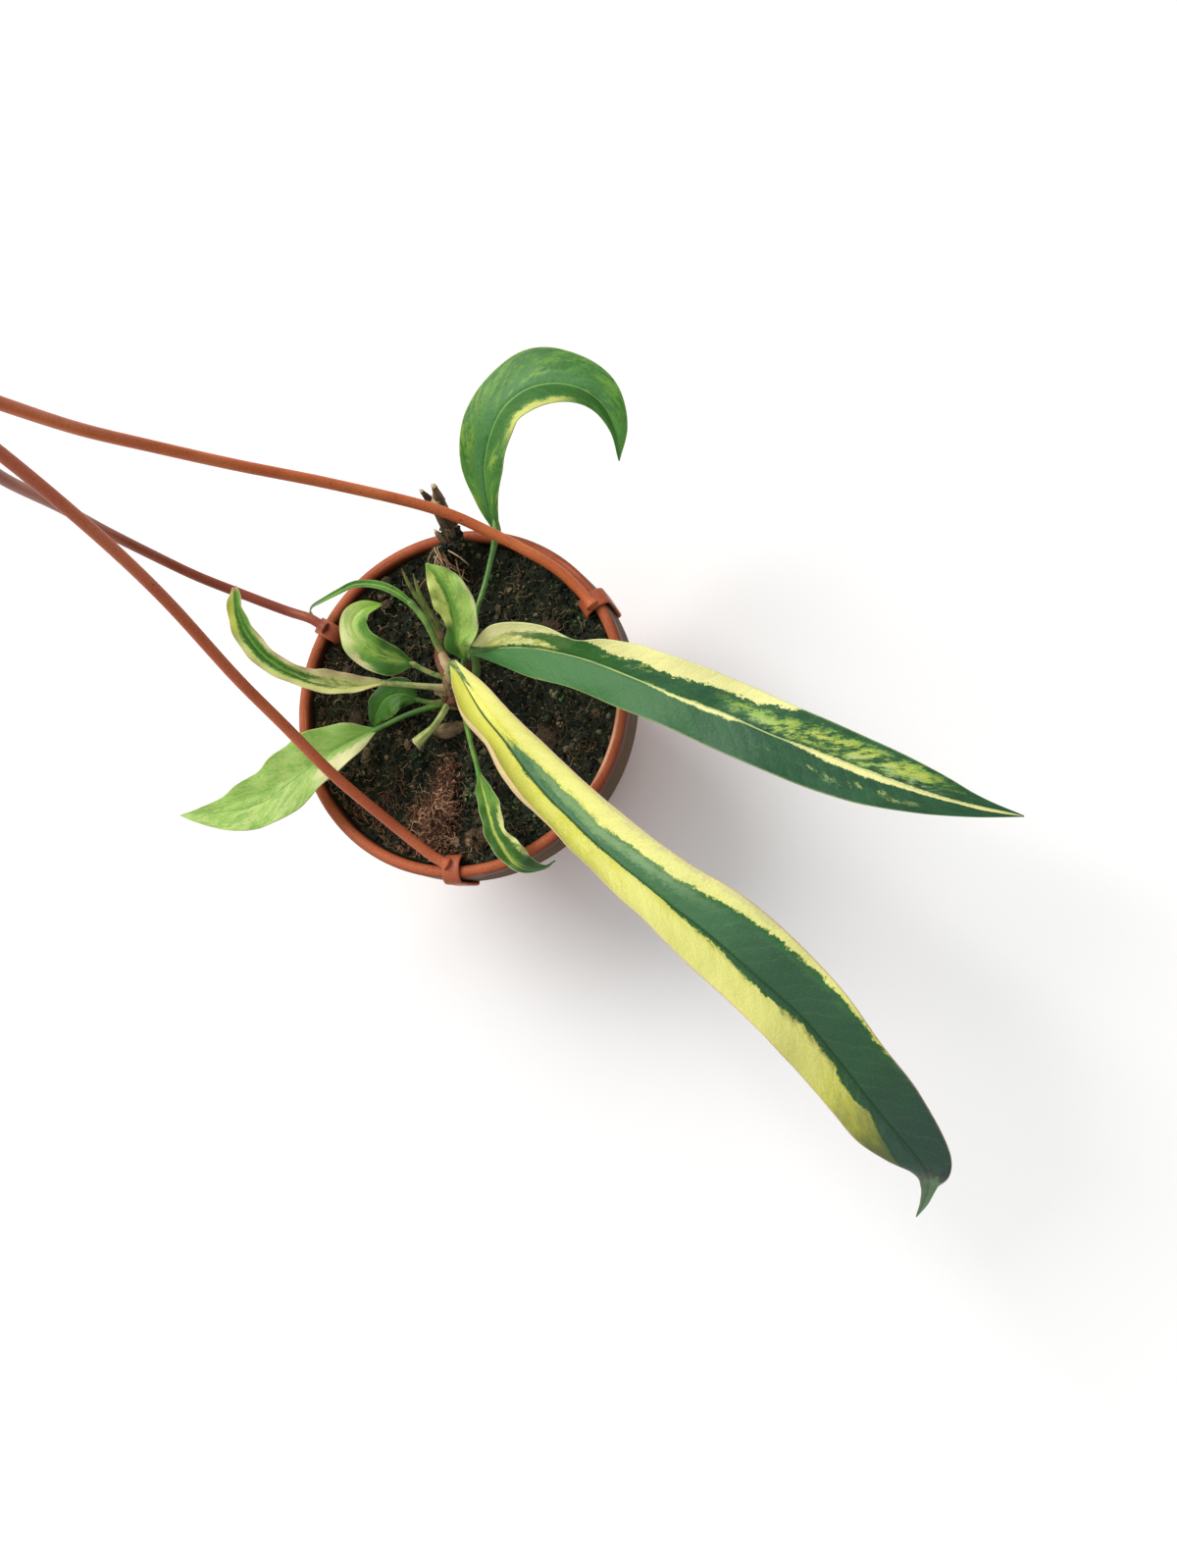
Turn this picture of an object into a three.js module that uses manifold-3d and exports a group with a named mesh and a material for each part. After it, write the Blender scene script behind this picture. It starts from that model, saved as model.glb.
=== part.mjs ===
// Potted Anthurium vittarifolium in a plastic hanging pot, as one group of closed solids.
// Millimetres, +Z up. The origin is the centre of the flat boss under the pot.

import * as THREE from "three";
import { mergeVertices } from "three/addons/utils/BufferGeometryUtils.js";
import Module from "manifold-3d";

const wasm = await Module();
wasm.setup();

// Driving dimensions of the pot, its hanger and what stands in the pot
const GAP = 0.3;
const POT = {
  height: 86,
  ridgeCircle: 57.7,
  ridgeRadius: 2,
  skirtDepth: 14,
  skirtLip: 60.3,
  skirtWall: 1.1,
  grooveDepth: 8,
  grooveWidth: 1,
  bodyRadius: 57.2,
  innerRadius: 55.9,
  wall: 1.2,
  footRadius: 37.5,
  footWidth: 4.5,
  bossRadius: 10,
  chamfer: 1.5,
  recess: 1.8,
  floorTop: 3.2,
  drainCount: 6,
  drainRadius: 3,
  drainCircle: 21,
  sides: 48,
};
const SOIL = { level: 77.6, crest: 80.3, edgeDrop: 2, rings: 10, sectors: 36, bottom: 3.6 };
const ARM = { radius: 1.85, sides: 7, steps: 20 };
const CLIP = {
  width: 6,
  footWidth: 8.6,
  wall: 1.05,
  centre: 56.8,
  halfSpan: 4.95,
  rise: 4.1,
  springHeight: 83.5,
  innerDrop: 4,
  flareTop: 80,
  flareBottom: 75,
  footReach: 3.2,
};
const HUB = { x: -61.3, y: 38.5, bottom: 239, height: 9, radius: 6.2 };
const HOOK = { rod: 2.1, ring: 11, stem: 12, sweepDegrees: 285, sides: 8, steps: 30, ringPoints: 14 };
const BLADE = { thickness: 0.7, curlPower: 3, narrowest: 0.5, samples: 24, rightPhase: 0.37, rippleRelief: 4 };

const COLOURS = {
  terracotta: 0xb4623c,
  soil: 0x2a231c,
  bark: 0x6b4a35,
  coir: 0x7a4c38,
  wood: 0x4d3828,
  crown: 0xa88a66,
  deepGreen: 0x3f7a4c,
  yellowGreen: 0xc9cf5a,
  midGreen: 0x5a9438,
  paleGreen: 0x9cc070,
  cutStalk: 0xbcbf86,
};

// Solids and geometries

function toSolid(geometry) {
  const bare = geometry.clone();
  bare.deleteAttribute("normal");
  bare.deleteAttribute("uv");
  const merged = mergeVertices(bare, 1e-4);
  return new wasm.Manifold(
    new wasm.Mesh({
      numProp: 3,
      vertProperties: new Float32Array(merged.attributes.position.array),
      triVerts: new Uint32Array(merged.index.array),
    }),
  );
}

function toGeometry(solid) {
  const mesh = solid.getMesh();
  const geometry = new THREE.BufferGeometry();
  geometry.setAttribute("position", new THREE.BufferAttribute(mesh.vertProperties, 3));
  geometry.setIndex(new THREE.BufferAttribute(mesh.triVerts, 1));
  geometry.computeVertexNormals();
  return geometry;
}

function largestPiece(solid) {
  const pieces = solid.decompose();
  return pieces.reduce((best, piece) => (piece.volume() > best.volume() ? piece : best));
}

function unite(solids) {
  return solids.reduce((whole, solid) => whole.add(solid));
}

function closedGeometry(vertices, triangles) {
  const geometry = new THREE.BufferGeometry();
  geometry.setAttribute("position", new THREE.Float32BufferAttribute(vertices.flatMap((v) => v.toArray()), 3));
  geometry.setIndex(triangles.flat());
  return geometry;
}

// Curves: a Catmull-Rom line through hand-set points, and lists of values along it

function curveThrough(points) {
  const vectors = points.map((point) => new THREE.Vector3(...point));
  return new THREE.CatmullRomCurve3(vectors, false, "catmullrom", 0.5);
}

function valueAlong(values, s) {
  if (typeof values === "number") return values;
  const last = values.length - 1;
  const at = (i) => {
    if (i < 0) return 2 * values[0] - values[1];
    if (i > last) return 2 * values[last] - values[last - 1];
    return values[i];
  };
  const cell = Math.min(Math.floor(s * last), last - 1);
  const t = s * last - cell;
  const [a, b, c, d] = [at(cell - 1), at(cell), at(cell + 1), at(cell + 2)];
  const cubic = -a + 3 * b - 3 * c + d;
  const square = 2 * a - 5 * b + 4 * c - d;
  return 0.5 * (2 * b + (c - a) * t + square * t * t + cubic * t * t * t);
}

// A closed tube along points, with its radius given along it and fans closing both ends
function sweep(points, radii, sides, steps) {
  const curve = curveThrough(points);
  const vertices = [];
  const triangles = [];
  let side = new THREE.Vector3(1, 0, 0);
  for (let i = 0; i <= steps; i += 1) {
    const s = i / steps;
    const centre = curve.getPoint(s);
    const along = curve.getTangent(s);
    if (i === 0 && Math.abs(along.x) > 0.8) side = new THREE.Vector3(0, 1, 0);
    side = side.clone().addScaledVector(along, -side.dot(along)).normalize();
    const other = new THREE.Vector3().crossVectors(along, side);
    const radius = valueAlong(radii, s);
    for (let k = 0; k < sides; k += 1) {
      const angle = (2 * Math.PI * k) / sides;
      const rim = side.clone().multiplyScalar(Math.cos(angle) * radius);
      rim.addScaledVector(other, Math.sin(angle) * radius);
      vertices.push(centre.clone().add(rim));
    }
  }
  for (let i = 0; i < steps; i += 1) {
    for (let k = 0; k < sides; k += 1) {
      const a = i * sides + k;
      const b = i * sides + ((k + 1) % sides);
      triangles.push([a, b, a + sides], [b, b + sides, a + sides]);
    }
  }
  const start = vertices.length;
  vertices.push(curve.getPoint(0), curve.getPoint(1));
  for (let k = 0; k < sides; k += 1) {
    const next = (k + 1) % sides;
    triangles.push([start, next, k]);
    triangles.push([start + 1, steps * sides + k, steps * sides + next]);
  }
  return toSolid(closedGeometry(vertices, triangles));
}

// Pot: a turned profile with its skirt open from below, and drain holes through the floor

const lipHeight = POT.height - POT.skirtDepth;

function bodyRadiusAt(z) {
  const start = POT.footRadius + POT.chamfer;
  return start + ((POT.bodyRadius - start) * (z - POT.chamfer)) / (lipHeight - POT.chamfer);
}

function innerRadiusAt(z) {
  return Math.min(bodyRadiusAt(z) - POT.wall, POT.innerRadius);
}

// Points on a circle round the rim's ridge, in the radius-height plane
function ridgeArc(radius, fromDegrees, toDegrees, steps) {
  const centreZ = POT.height - POT.ridgeRadius;
  return Array.from({ length: steps + 1 }, (_, i) => {
    const angle = THREE.MathUtils.degToRad(fromDegrees + ((toDegrees - fromDegrees) * i) / steps);
    return [POT.ridgeCircle + radius * Math.cos(angle), centreZ + radius * Math.sin(angle)];
  });
}

function potSolid() {
  const grooveTop = lipHeight + POT.grooveDepth;
  const grooveInner = POT.bodyRadius + 0.1;
  const outside = [
    [0, 0],
    [POT.bossRadius, 0],
    [POT.bossRadius + POT.chamfer, POT.recess],
    [POT.footRadius - POT.footWidth - POT.chamfer, POT.recess],
    [POT.footRadius - POT.footWidth, 0],
    [POT.footRadius, 0],
    [POT.footRadius + POT.chamfer, POT.chamfer],
    [POT.bodyRadius, lipHeight],
    [grooveInner, grooveTop],
    [grooveInner + POT.grooveWidth, grooveTop],
    [POT.skirtLip - POT.skirtWall, lipHeight],
    [POT.skirtLip, lipHeight],
  ];
  const inside = [
    [POT.innerRadius, lipHeight],
    [innerRadiusAt(POT.floorTop), POT.floorTop],
    [0, POT.floorTop],
  ];
  const profile = [...outside, ...ridgeArc(POT.ridgeRadius, 0, 180, 8), ...inside];
  const points = profile.map(([radius, z]) => new THREE.Vector2(radius, z));
  const lathe = new THREE.LatheGeometry(points, POT.sides).rotateX(Math.PI / 2);
  let solid = toSolid(lathe);
  for (let i = 0; i < POT.drainCount; i += 1) {
    const angle = (2 * Math.PI * (i + 0.5)) / POT.drainCount;
    const drill = new THREE.CylinderGeometry(POT.drainRadius, POT.drainRadius, 12, 10);
    drill.rotateX(Math.PI / 2);
    drill.translate(POT.drainCircle * Math.cos(angle), POT.drainCircle * Math.sin(angle), 0);
    solid = solid.subtract(toSolid(drill));
  }
  return solid;
}

// Potting mix: a filled cone with a rough top, and plain holes where things stand in it

const SOIL_WAVES = [
  { x: 0.16, y: 0.05, height: 0.75, phase: 0.4 },
  { x: -0.09, y: 0.21, height: 0.65, phase: 1.9 },
  { x: 0.33, y: -0.24, height: 0.4, phase: 3.1 },
  { x: 0.47, y: 0.38, height: 0.3, phase: 5.2 },
];

function soilHeight(x, y) {
  const rough = SOIL_WAVES.reduce((sum, w) => sum + w.height * Math.sin(w.x * x + w.y * y + w.phase), 0);
  const mound = 1.6 * Math.exp(-(x * x + y * y) / 420);
  const edge = -SOIL.edgeDrop * Math.pow(Math.hypot(x, y) / POT.innerRadius, 4);
  return Math.min(SOIL.level + rough + mound + edge, SOIL.crest);
}

function soilSolid() {
  const radius = POT.innerRadius - 1.5 * GAP;
  const floorRadius = innerRadiusAt(SOIL.bottom) - 1.5 * GAP;
  const vertices = [new THREE.Vector3(0, 0, soilHeight(0, 0))];
  const triangles = [];
  const ringStart = (ring) => 1 + (ring - 1) * SOIL.sectors;
  for (let ring = 1; ring <= SOIL.rings; ring += 1) {
    const r = (radius * ring) / SOIL.rings;
    for (let k = 0; k < SOIL.sectors; k += 1) {
      const angle = (2 * Math.PI * k) / SOIL.sectors;
      const [x, y] = [r * Math.cos(angle), r * Math.sin(angle)];
      vertices.push(new THREE.Vector3(x, y, soilHeight(x, y)));
    }
  }
  const floorStart = vertices.length;
  for (let k = 0; k < SOIL.sectors; k += 1) {
    const angle = (2 * Math.PI * k) / SOIL.sectors;
    vertices.push(new THREE.Vector3(floorRadius * Math.cos(angle), floorRadius * Math.sin(angle), SOIL.bottom));
  }
  const floorCentre = vertices.length;
  vertices.push(new THREE.Vector3(0, 0, SOIL.bottom));
  for (let k = 0; k < SOIL.sectors; k += 1) {
    const next = (k + 1) % SOIL.sectors;
    triangles.push([0, ringStart(1) + k, ringStart(1) + next]);
    for (let ring = 1; ring < SOIL.rings; ring += 1) {
      const [a, b] = [ringStart(ring) + k, ringStart(ring) + next];
      const [c, d] = [ringStart(ring + 1) + k, ringStart(ring + 1) + next];
      triangles.push([a, c, d], [a, d, b]);
    }
    const [top, topNext] = [ringStart(SOIL.rings) + k, ringStart(SOIL.rings) + next];
    triangles.push([top, floorStart + k, floorStart + next], [top, floorStart + next, topNext]);
    triangles.push([floorCentre, floorStart + next, floorStart + k]);
  }
  return toSolid(closedGeometry(vertices, triangles));
}

// Bark chips and the coir tuft lie in shallow beds of their own shape

const CHIPS = [
  { name: "bark_chip_front", at: [9.5, -44.5], size: [5.2, 3.4, 1.7], turn: 30 },
  { name: "bark_chip_left", at: [-40.5, -3.5], size: [4.6, 3.2, 1.6], turn: 75 },
  { name: "bark_chip_right", at: [30, -12.5], size: [4.2, 3.0, 1.5], turn: 140 },
  { name: "bark_chip_back", at: [30.5, 25], size: [4.6, 2.8, 1.5], turn: 10 },
];

function chipSolid({ at, size, turn }, grow) {
  const [x, y] = at;
  const chip = new THREE.IcosahedronGeometry(1, 0);
  chip.scale(size[0] + grow, size[1] + grow, size[2] + grow);
  chip.rotateX(0.25);
  chip.rotateZ(THREE.MathUtils.degToRad(turn));
  chip.translate(x, y, soilHeight(x, y) + 0.4);
  return toSolid(chip);
}

const COIR = { centre: [-6, -37], radius: [9, 15, 2.6], fibres: 12, fibreRadius: 0.45 };

function coirMound(grow) {
  const [x, y] = COIR.centre;
  const mound = new THREE.SphereGeometry(1, 14, 8);
  mound.rotateX(Math.PI / 2);
  mound.scale(COIR.radius[0] + grow, COIR.radius[1] + grow, COIR.radius[2] + grow);
  mound.rotateZ(-0.25);
  mound.translate(x, y, soilHeight(x, y) - 0.3);
  return toSolid(mound);
}

function coirSolid() {
  const fibres = Array.from({ length: COIR.fibres }, (_, i) => {
    const angle = i * 2.4;
    const reach = 3 + (i % 4) * 2.6;
    const x = COIR.centre[0] + reach * 0.6 * Math.cos(angle);
    const y = COIR.centre[1] + reach * Math.sin(angle);
    const z = soilHeight(x, y) + 0.6;
    const [dx, dy] = [Math.cos(angle + 0.9), Math.sin(angle + 0.9)];
    const points = [
      [x - 2.2 * dx, y - 2.2 * dy, z],
      [x, y, z + 1.6 + (i % 3) * 0.5],
      [x + 2.4 * dx, y + 2.4 * dy, z + 2.4 + (i % 2)],
    ];
    return sweep(points, COIR.fibreRadius, 4, 4);
  });
  return largestPiece(unite([coirMound(0), ...fibres]));
}

// Dry forked stub at the back rim

const STUB = {
  trunk: [[-2, 48, 66], [-2.2, 50, 76], [-2.2, 52.2, 84], [-1.8, 55.4, 90.6], [-1, 58.8, 97], [0, 62.3, 103.5]],
  trunkRadius: [2.3, 2.6, 2.4, 2.2, 2.1, 1.9],
  prongs: [
    { points: [[-0.4, 61.4, 101], [-1.6, 63.4, 106], [-2.8, 64.8, 111]], radii: [1.5, 1.2, 0.7] },
    { points: [[0.3, 61.4, 101], [1.6, 63.4, 106], [2.3, 64.8, 112]], radii: [1.5, 1.3, 0.9] },
    { points: [[-2, 54, 90], [-3.8, 55.6, 92.4], [-5, 56.8, 93.4]], radii: [1.4, 1.1, 0.7] },
  ],
};

function stubTrunk(grow) {
  const radii = STUB.trunkRadius.map((radius) => radius + grow);
  return sweep(STUB.trunk, radii, 7, 8);
}

function stubSolid() {
  const prongs = STUB.prongs.map((prong) => sweep(prong.points, prong.radii, 5, 3));
  return unite([stubTrunk(0), ...prongs]);
}

// Crown: short stem with dry sheaths, pierced by a socket for each stalk

const CROWN = {
  stem: [[0.4, 3, 64], [0.5, 3, 74], [1, 3.6, 82], [1.8, 5, 89], [2.6, 6.2, 94]],
  stemRadius: [3.2, 5.4, 5.6, 4.8, 2.6],
  sheaths: [
    { points: [[1.4, 6, 86], [0.6, 8.6, 89], [-0.6, 12, 91], [-1.8, 15.2, 92.4]], radii: [2.4, 2.7, 2.6, 2.4] },
    { points: [[-1.4, 7, 84], [-3.4, 10.6, 88], [-5, 14.6, 92.5]], radii: [2.2, 1.4, 0.4] },
    { points: [[2.8, 7, 86], [5.8, 10.4, 90], [7.4, 12, 95]], radii: [2.4, 1.6, 0.5] },
    { points: [[-2, 0.5, 80], [-5.6, 0, 84], [-7.6, -0.6, 89]], radii: [2.6, 1.6, 0.4] },
    { points: [[1, -1, 77], [0.4, -6.6, 80.5], [-1.2, -10.4, 80.8]], radii: [3, 2.6, 1] },
    { points: [[4, 1, 80], [6.4, -1.4, 84], [7.4, -2.6, 88]], radii: [2.2, 1.4, 0.4] },
  ],
};

function crownWhole(grow) {
  const pieces = [{ points: CROWN.stem, radii: CROWN.stemRadius }, ...CROWN.sheaths];
  return unite(pieces.map(({ points, radii }) => sweep(points, radii.map((radius) => radius + grow), 7, 5)));
}

function crownSolid(stalks) {
  return largestPiece(stalks.reduce((rest, stalk) => rest.subtract(stalk), crownWhole(0)));
}

// Leaves. Every list has one value for each point of the midrib, from the blade's base to its tip.
// left and right are half-widths seen from above and looking towards the tip, roll leans the face
// to the left, fold lifts both halves, and a curl turns a margin up, all in degrees.

const LEAVES = [
  {
    name: "leaf_right_long",
    colour: COLOURS.deepGreen,
    stalk: [[4.4, 3.4, 82.5], [7.9, 5.6, 88], [10.8, 9, 94], [12.3, 12.4, 101]],
    stalkRadius: [1.6, 1.5, 1.4, 1.3],
    midrib: [
      [12.3, 12.4, 101], [31.9, 10.4, 106], [49.8, 5.1, 110], [65.8, -2.3, 113], [80.6, -9.9, 115.5],
      [94.9, -16.4, 117], [108.2, -23.3, 118], [121.3, -28.9, 117], [134, -34.4, 115.5], [146.5, -39.6, 113],
      [159.5, -43.4, 109], [172.9, -46, 104],
    ],
    left: [1.6, 9.1, 6.2, 10.3, 11.3, 10.4, 9.9, 9.1, 8.3, 6.8, 3.5, 0.2],
    right: [1.6, 8.4, 9.5, 9.9, 9.3, 10.4, 10.1, 10.4, 9.2, 6.1, 3.1, 0.2],
    roll: [-20, -24, -22, -18, -12, -8, -6, -4, -4, -2, 0, 0],
    fold: [18, 20, 20, 18, 16, 14, 12, 12, 12, 12, 10, 10],
    curlLeft: [20, 30, 30, 0, 20, 10, 0, 0, 0, 0, 0, 0],
    curlRight: 0,
    ripple: { height: 0.5, count: 5, phase: 0.2 },
    rows: 18,
    across: 3,
  },
  {
    name: "leaf_front_long",
    colour: COLOURS.yellowGreen,
    stalk: [[2.4, 4.2, 88.6], [3.2, 5, 94], [4.8, 6.2, 100], [8.1, 7, 106]],
    stalkRadius: [1.8, 1.8, 1.7, 1.4],
    midrib: [
      [8.1, 7, 106], [23.1, -11.2, 112.5], [37.9, -27.6, 118], [51.5, -42.5, 122], [64.6, -55.7, 124],
      [77.6, -67.4, 124], [90.5, -77.9, 122], [102.5, -88.8, 118.5], [114.1, -100, 113.5],
      [123.9, -113, 107], [133.5, -126.8, 99], [143.8, -140.8, 89.5], [145.4, -148, 80],
      [144.2, -155.2, 70.5], [142.2, -161.9, 61],
    ],
    left: [1.6, 9.1, 11.2, 11.5, 10.8, 12.1, 14, 14.3, 13, 11.9, 11.9, 8, 2.6, 1.2, 0.2],
    right: [1.6, 10.4, 12.6, 9.8, 8.6, 8.2, 10, 10.2, 11.1, 10.3, 9.6, 4.2, 2.4, 1.2, 0.2],
    roll: [-8, -6, -4, 0, 5, 8, 10, 10, 8, 5, 3, 0, 0, 0, 0],
    fold: [35, 32, 28, 22, 18, 15, 12, 10, 10, 8, 6, 4, 20, 25, 25],
    curlLeft: [30, 60, 70, 60, 10, -15, -15, -15, -10, -5, 0, -10, 0, 0, 0],
    curlRight: [20, 130, 150, 110, 60, 20, 0, 0, 0, 0, 0, -10, 0, 0, 0],
    ripple: { height: 0.5, count: 6, phase: 0.6 },
    rows: 24,
    across: 4,
  },
  {
    name: "leaf_back_crescent",
    colour: COLOURS.midGreen,
    stalk: [
      [2.4, 7.8, 82], [5.4, 12.4, 87], [8, 18, 91], [10.8, 27, 94.6], [13.8, 34.4, 96], [16, 42.2, 96.6],
      [17.6, 48.6, 97], [18.9, 52.8, 98.5],
    ],
    stalkRadius: [1, 0.9, 0.85, 0.8, 0.8, 0.8, 1, 1.3],
    midrib: [
      [18.9, 52.8, 98.5], [17.7, 61.6, 103.5], [18.6, 70.4, 109], [22.7, 78.5, 114], [28.9, 85.6, 117],
      [38.5, 89.4, 118], [49.1, 88.6, 117.5], [57.5, 84, 115], [61.9, 76.2, 111], [62, 67.8, 106],
    ],
    left: [1, 4.4, 8.5, 11.2, 11.8, 12.6, 10.1, 7.5, 4.2, 0.2],
    right: [1, 4.2, 8.3, 9.4, 10.5, 9.9, 7, 4, 1.9, 0.2],
    roll: [8, 8, 8, 10, 10, 10, 8, 8, 6, 0],
    fold: 12,
    curlLeft: 0,
    curlRight: 0,
    ripple: { height: 0.4, count: 4, phase: 0.1 },
    rows: 15,
    across: 3,
  },
  {
    name: "leaf_upright_small",
    colour: COLOURS.paleGreen,
    stalk: [[1.6, 7.8, 86.4], [3.6, 8.8, 90], [6, 9.8, 93.6], [8, 10.8, 97.5]],
    stalkRadius: [0.9, 0.9, 0.9, 0.9],
    midrib: [
      [8, 10.8, 97.5], [7.7, 14.3, 103], [8.9, 18.4, 108.3], [9.7, 22.6, 113], [9.3, 27, 116.5],
      [7.2, 31, 119], [4.5, 35.1, 121],
    ],
    left: [1, 3.9, 2.5, 4.7, 5.1, 3.6, 0.2],
    right: [0.8, 5, 8.8, 8.7, 6.8, 4.4, 0.2],
    roll: [0, 0, -3, -8, -10, -10, -10],
    fold: [18, 20, 14, 12, 12, 14, 14],
    curlLeft: 0,
    curlRight: 0,
    ripple: { height: 0.35, count: 4, phase: 0.5 },
    rows: 11,
    across: 2,
  },
  {
    name: "leaf_left_curled",
    colour: COLOURS.midGreen,
    stalk: [[-0.6, 6.6, 85.5], [-3, 7.4, 88.5], [-6.8, 8.6, 91], [-11.8, 11.2, 94]],
    stalkRadius: [1.1, 1, 0.9, 0.9],
    midrib: [
      [-11.8, 11.2, 94], [-16.8, 12.3, 98], [-22, 13.9, 101.5], [-26.6, 18, 103.5], [-29.4, 23.6, 103.7],
      [-26.6, 28.6, 102.5], [-20.5, 30.7, 100],
    ],
    left: [0.9, 6.3, 6.5, 6, 4.3, 3.3, 0.2],
    right: [0.9, 3.9, 5.4, 5.2, 7.2, 4.6, 0.2],
    roll: 0,
    fold: 16,
    curlLeft: 10,
    curlRight: 30,
    ripple: { height: 0.4, count: 3, phase: 0.3 },
    rows: 11,
    across: 2,
  },
  {
    name: "leaf_left_channel",
    colour: COLOURS.midGreen,
    stalk: [[-1, 3.4, 87.4], [-3, 3.4, 90.4], [-6.4, 3.4, 93], [-12.8, 3.7, 96], [-20.4, 4.4, 98]],
    stalkRadius: [1.3, 1.2, 1, 0.9, 0.9],
    midrib: [
      [-20.4, 4.4, 98], [-28.7, 2.8, 102], [-37, 3.3, 106], [-45.6, 5.8, 109], [-54.1, 10.5, 111],
      [-61.4, 17.6, 112], [-66.6, 26.8, 112], [-69.4, 37.2, 111],
    ],
    left: [0.9, 3.5, 4.9, 4.1, 4.5, 4.4, 3.2, 0.3],
    right: [0.9, 4.3, 5.6, 4.1, 4.9, 6.5, 5, 0.3],
    roll: 0,
    fold: 35,
    curlLeft: 30,
    curlRight: 30,
    ripple: { height: 0.4, count: 4, phase: 0.8 },
    rows: 13,
    across: 2,
  },
  {
    name: "leaf_left_broad",
    colour: COLOURS.paleGreen,
    stalk: [[-2.4, 0, 83.4], [-6, -1.4, 85.8], [-11.5, -3.4, 88.5], [-17, -6, 91], [-25.3, -10.2, 93]],
    stalkRadius: [1.2, 1, 0.9, 0.8, 0.8],
    midrib: [
      [-25.3, -10.2, 93], [-33.8, -14.6, 96.4], [-41.9, -19.8, 99.3], [-50.4, -25.6, 100.4],
      [-60.1, -30.5, 100.4], [-71.6, -33.8, 99.3], [-84.6, -36.4, 96.9], [-98.9, -37, 94],
    ],
    left: [0.8, 6.4, 8.5, 10.9, 12, 10.4, 5.5, 0.2],
    right: [0.8, 7.1, 9.9, 10.2, 8.2, 5.5, 2.7, 0.2],
    roll: 0,
    fold: 10,
    curlLeft: 0,
    curlRight: 0,
    ripple: { height: 0.6, count: 4, phase: 0.4 },
    rows: 14,
    across: 2,
  },
  {
    name: "leaf_left_folded",
    colour: COLOURS.midGreen,
    stalk: [[-3, 2.4, 81], [-5.4, 1, 82], [-9.2, 0.2, 83.2], [-14.3, 1.2, 84.4]],
    stalkRadius: [1, 0.9, 0.85, 0.8],
    midrib: [[-14.3, 1.2, 84.4], [-19, 3.2, 86], [-25.1, 2.4, 85.6], [-29.5, -1.8, 83.8], [-32.2, -6.8, 81.6]],
    left: [0.8, 6, 7.5, 5.4, 0.2],
    right: [0.8, 5.7, 4.9, 4, 0.2],
    roll: 0,
    fold: 10,
    curlLeft: 0,
    curlRight: 0,
    ripple: { height: 0.3, count: 2, phase: 0.2 },
    rows: 8,
    across: 2,
  },
  {
    name: "leaf_front_small",
    colour: COLOURS.midGreen,
    stalk: [[1.4, -0.6, 80.6], [2.6, -5.8, 82.6], [5.6, -14.7, 85], [8.1, -21, 86.6], [9.8, -25.8, 88]],
    stalkRadius: [1.1, 0.95, 0.85, 0.85, 0.8],
    midrib: [
      [9.8, -25.8, 88], [13, -33.3, 91.3], [15.8, -40.4, 94], [19, -47.2, 96], [22.8, -52.8, 95.6],
      [27.9, -56.6, 94.2], [33.9, -57, 92.6], [37.6, -55, 92.4],
    ],
    left: [0.8, 4, 6, 4.8, 6.3, 4.4, 0.9, 0.3],
    right: [0.8, 2.5, 2.6, 3.1, 2.8, 2.4, 0.8, 0.3],
    roll: 0,
    fold: 22,
    curlLeft: 0,
    curlRight: 0,
    ripple: { height: 0.6, count: 5, phase: 0.1 },
    rows: 13,
    across: 2,
  },
  {
    name: "leaf_back_strap",
    colour: COLOURS.midGreen,
    stalk: [[-1.6, 13, 90.4], [-3.2, 16.6, 93], [-4.1, 20.8, 97], [-5.6, 24.4, 99.5], [-9.1, 29.2, 101.5]],
    stalkRadius: [1, 1.1, 1.1, 1.1, 1.1],
    midrib: [
      [-9.1, 29.2, 101.5], [-14.5, 33.4, 103], [-20.7, 36.1, 103.5], [-28.9, 37.2, 103], [-36.5, 35.8, 101],
      [-44.2, 35, 97], [-51.2, 35.4, 91.4], [-56.4, 36, 85], [-59, 36.6, 79],
    ],
    left: [1, 1.5, 1.5, 1.4, 1.2, 1, 0.8, 0.7, 0.3],
    right: [1, 1.5, 1.5, 1.4, 1.2, 1, 0.8, 0.7, 0.3],
    roll: 0,
    fold: 30,
    curlLeft: 0,
    curlRight: 0,
    ripple: { height: 0, count: 1, phase: 0 },
    rows: 13,
    across: 1,
  },
];

// Where a blade's midrib is at s, and the directions along it, out of its face and to its left
function bladeFrame(leaf, curve, s) {
  const centre = curve.getPoint(s);
  const along = curve.getTangent(s);
  const up = new THREE.Vector3(0, 0, 1);
  const face = up.addScaledVector(along, -along.z).normalize();
  const left = new THREE.Vector3().crossVectors(face, along);
  const roll = THREE.MathUtils.degToRad(valueAlong(leaf.roll, s));
  const rolledFace = face.clone().multiplyScalar(Math.cos(roll)).addScaledVector(left, Math.sin(roll));
  const rolledLeft = left.clone().multiplyScalar(Math.cos(roll)).addScaledVector(face, -Math.sin(roll));
  return { centre, along, face: rolledFace, left: rolledLeft };
}

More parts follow.
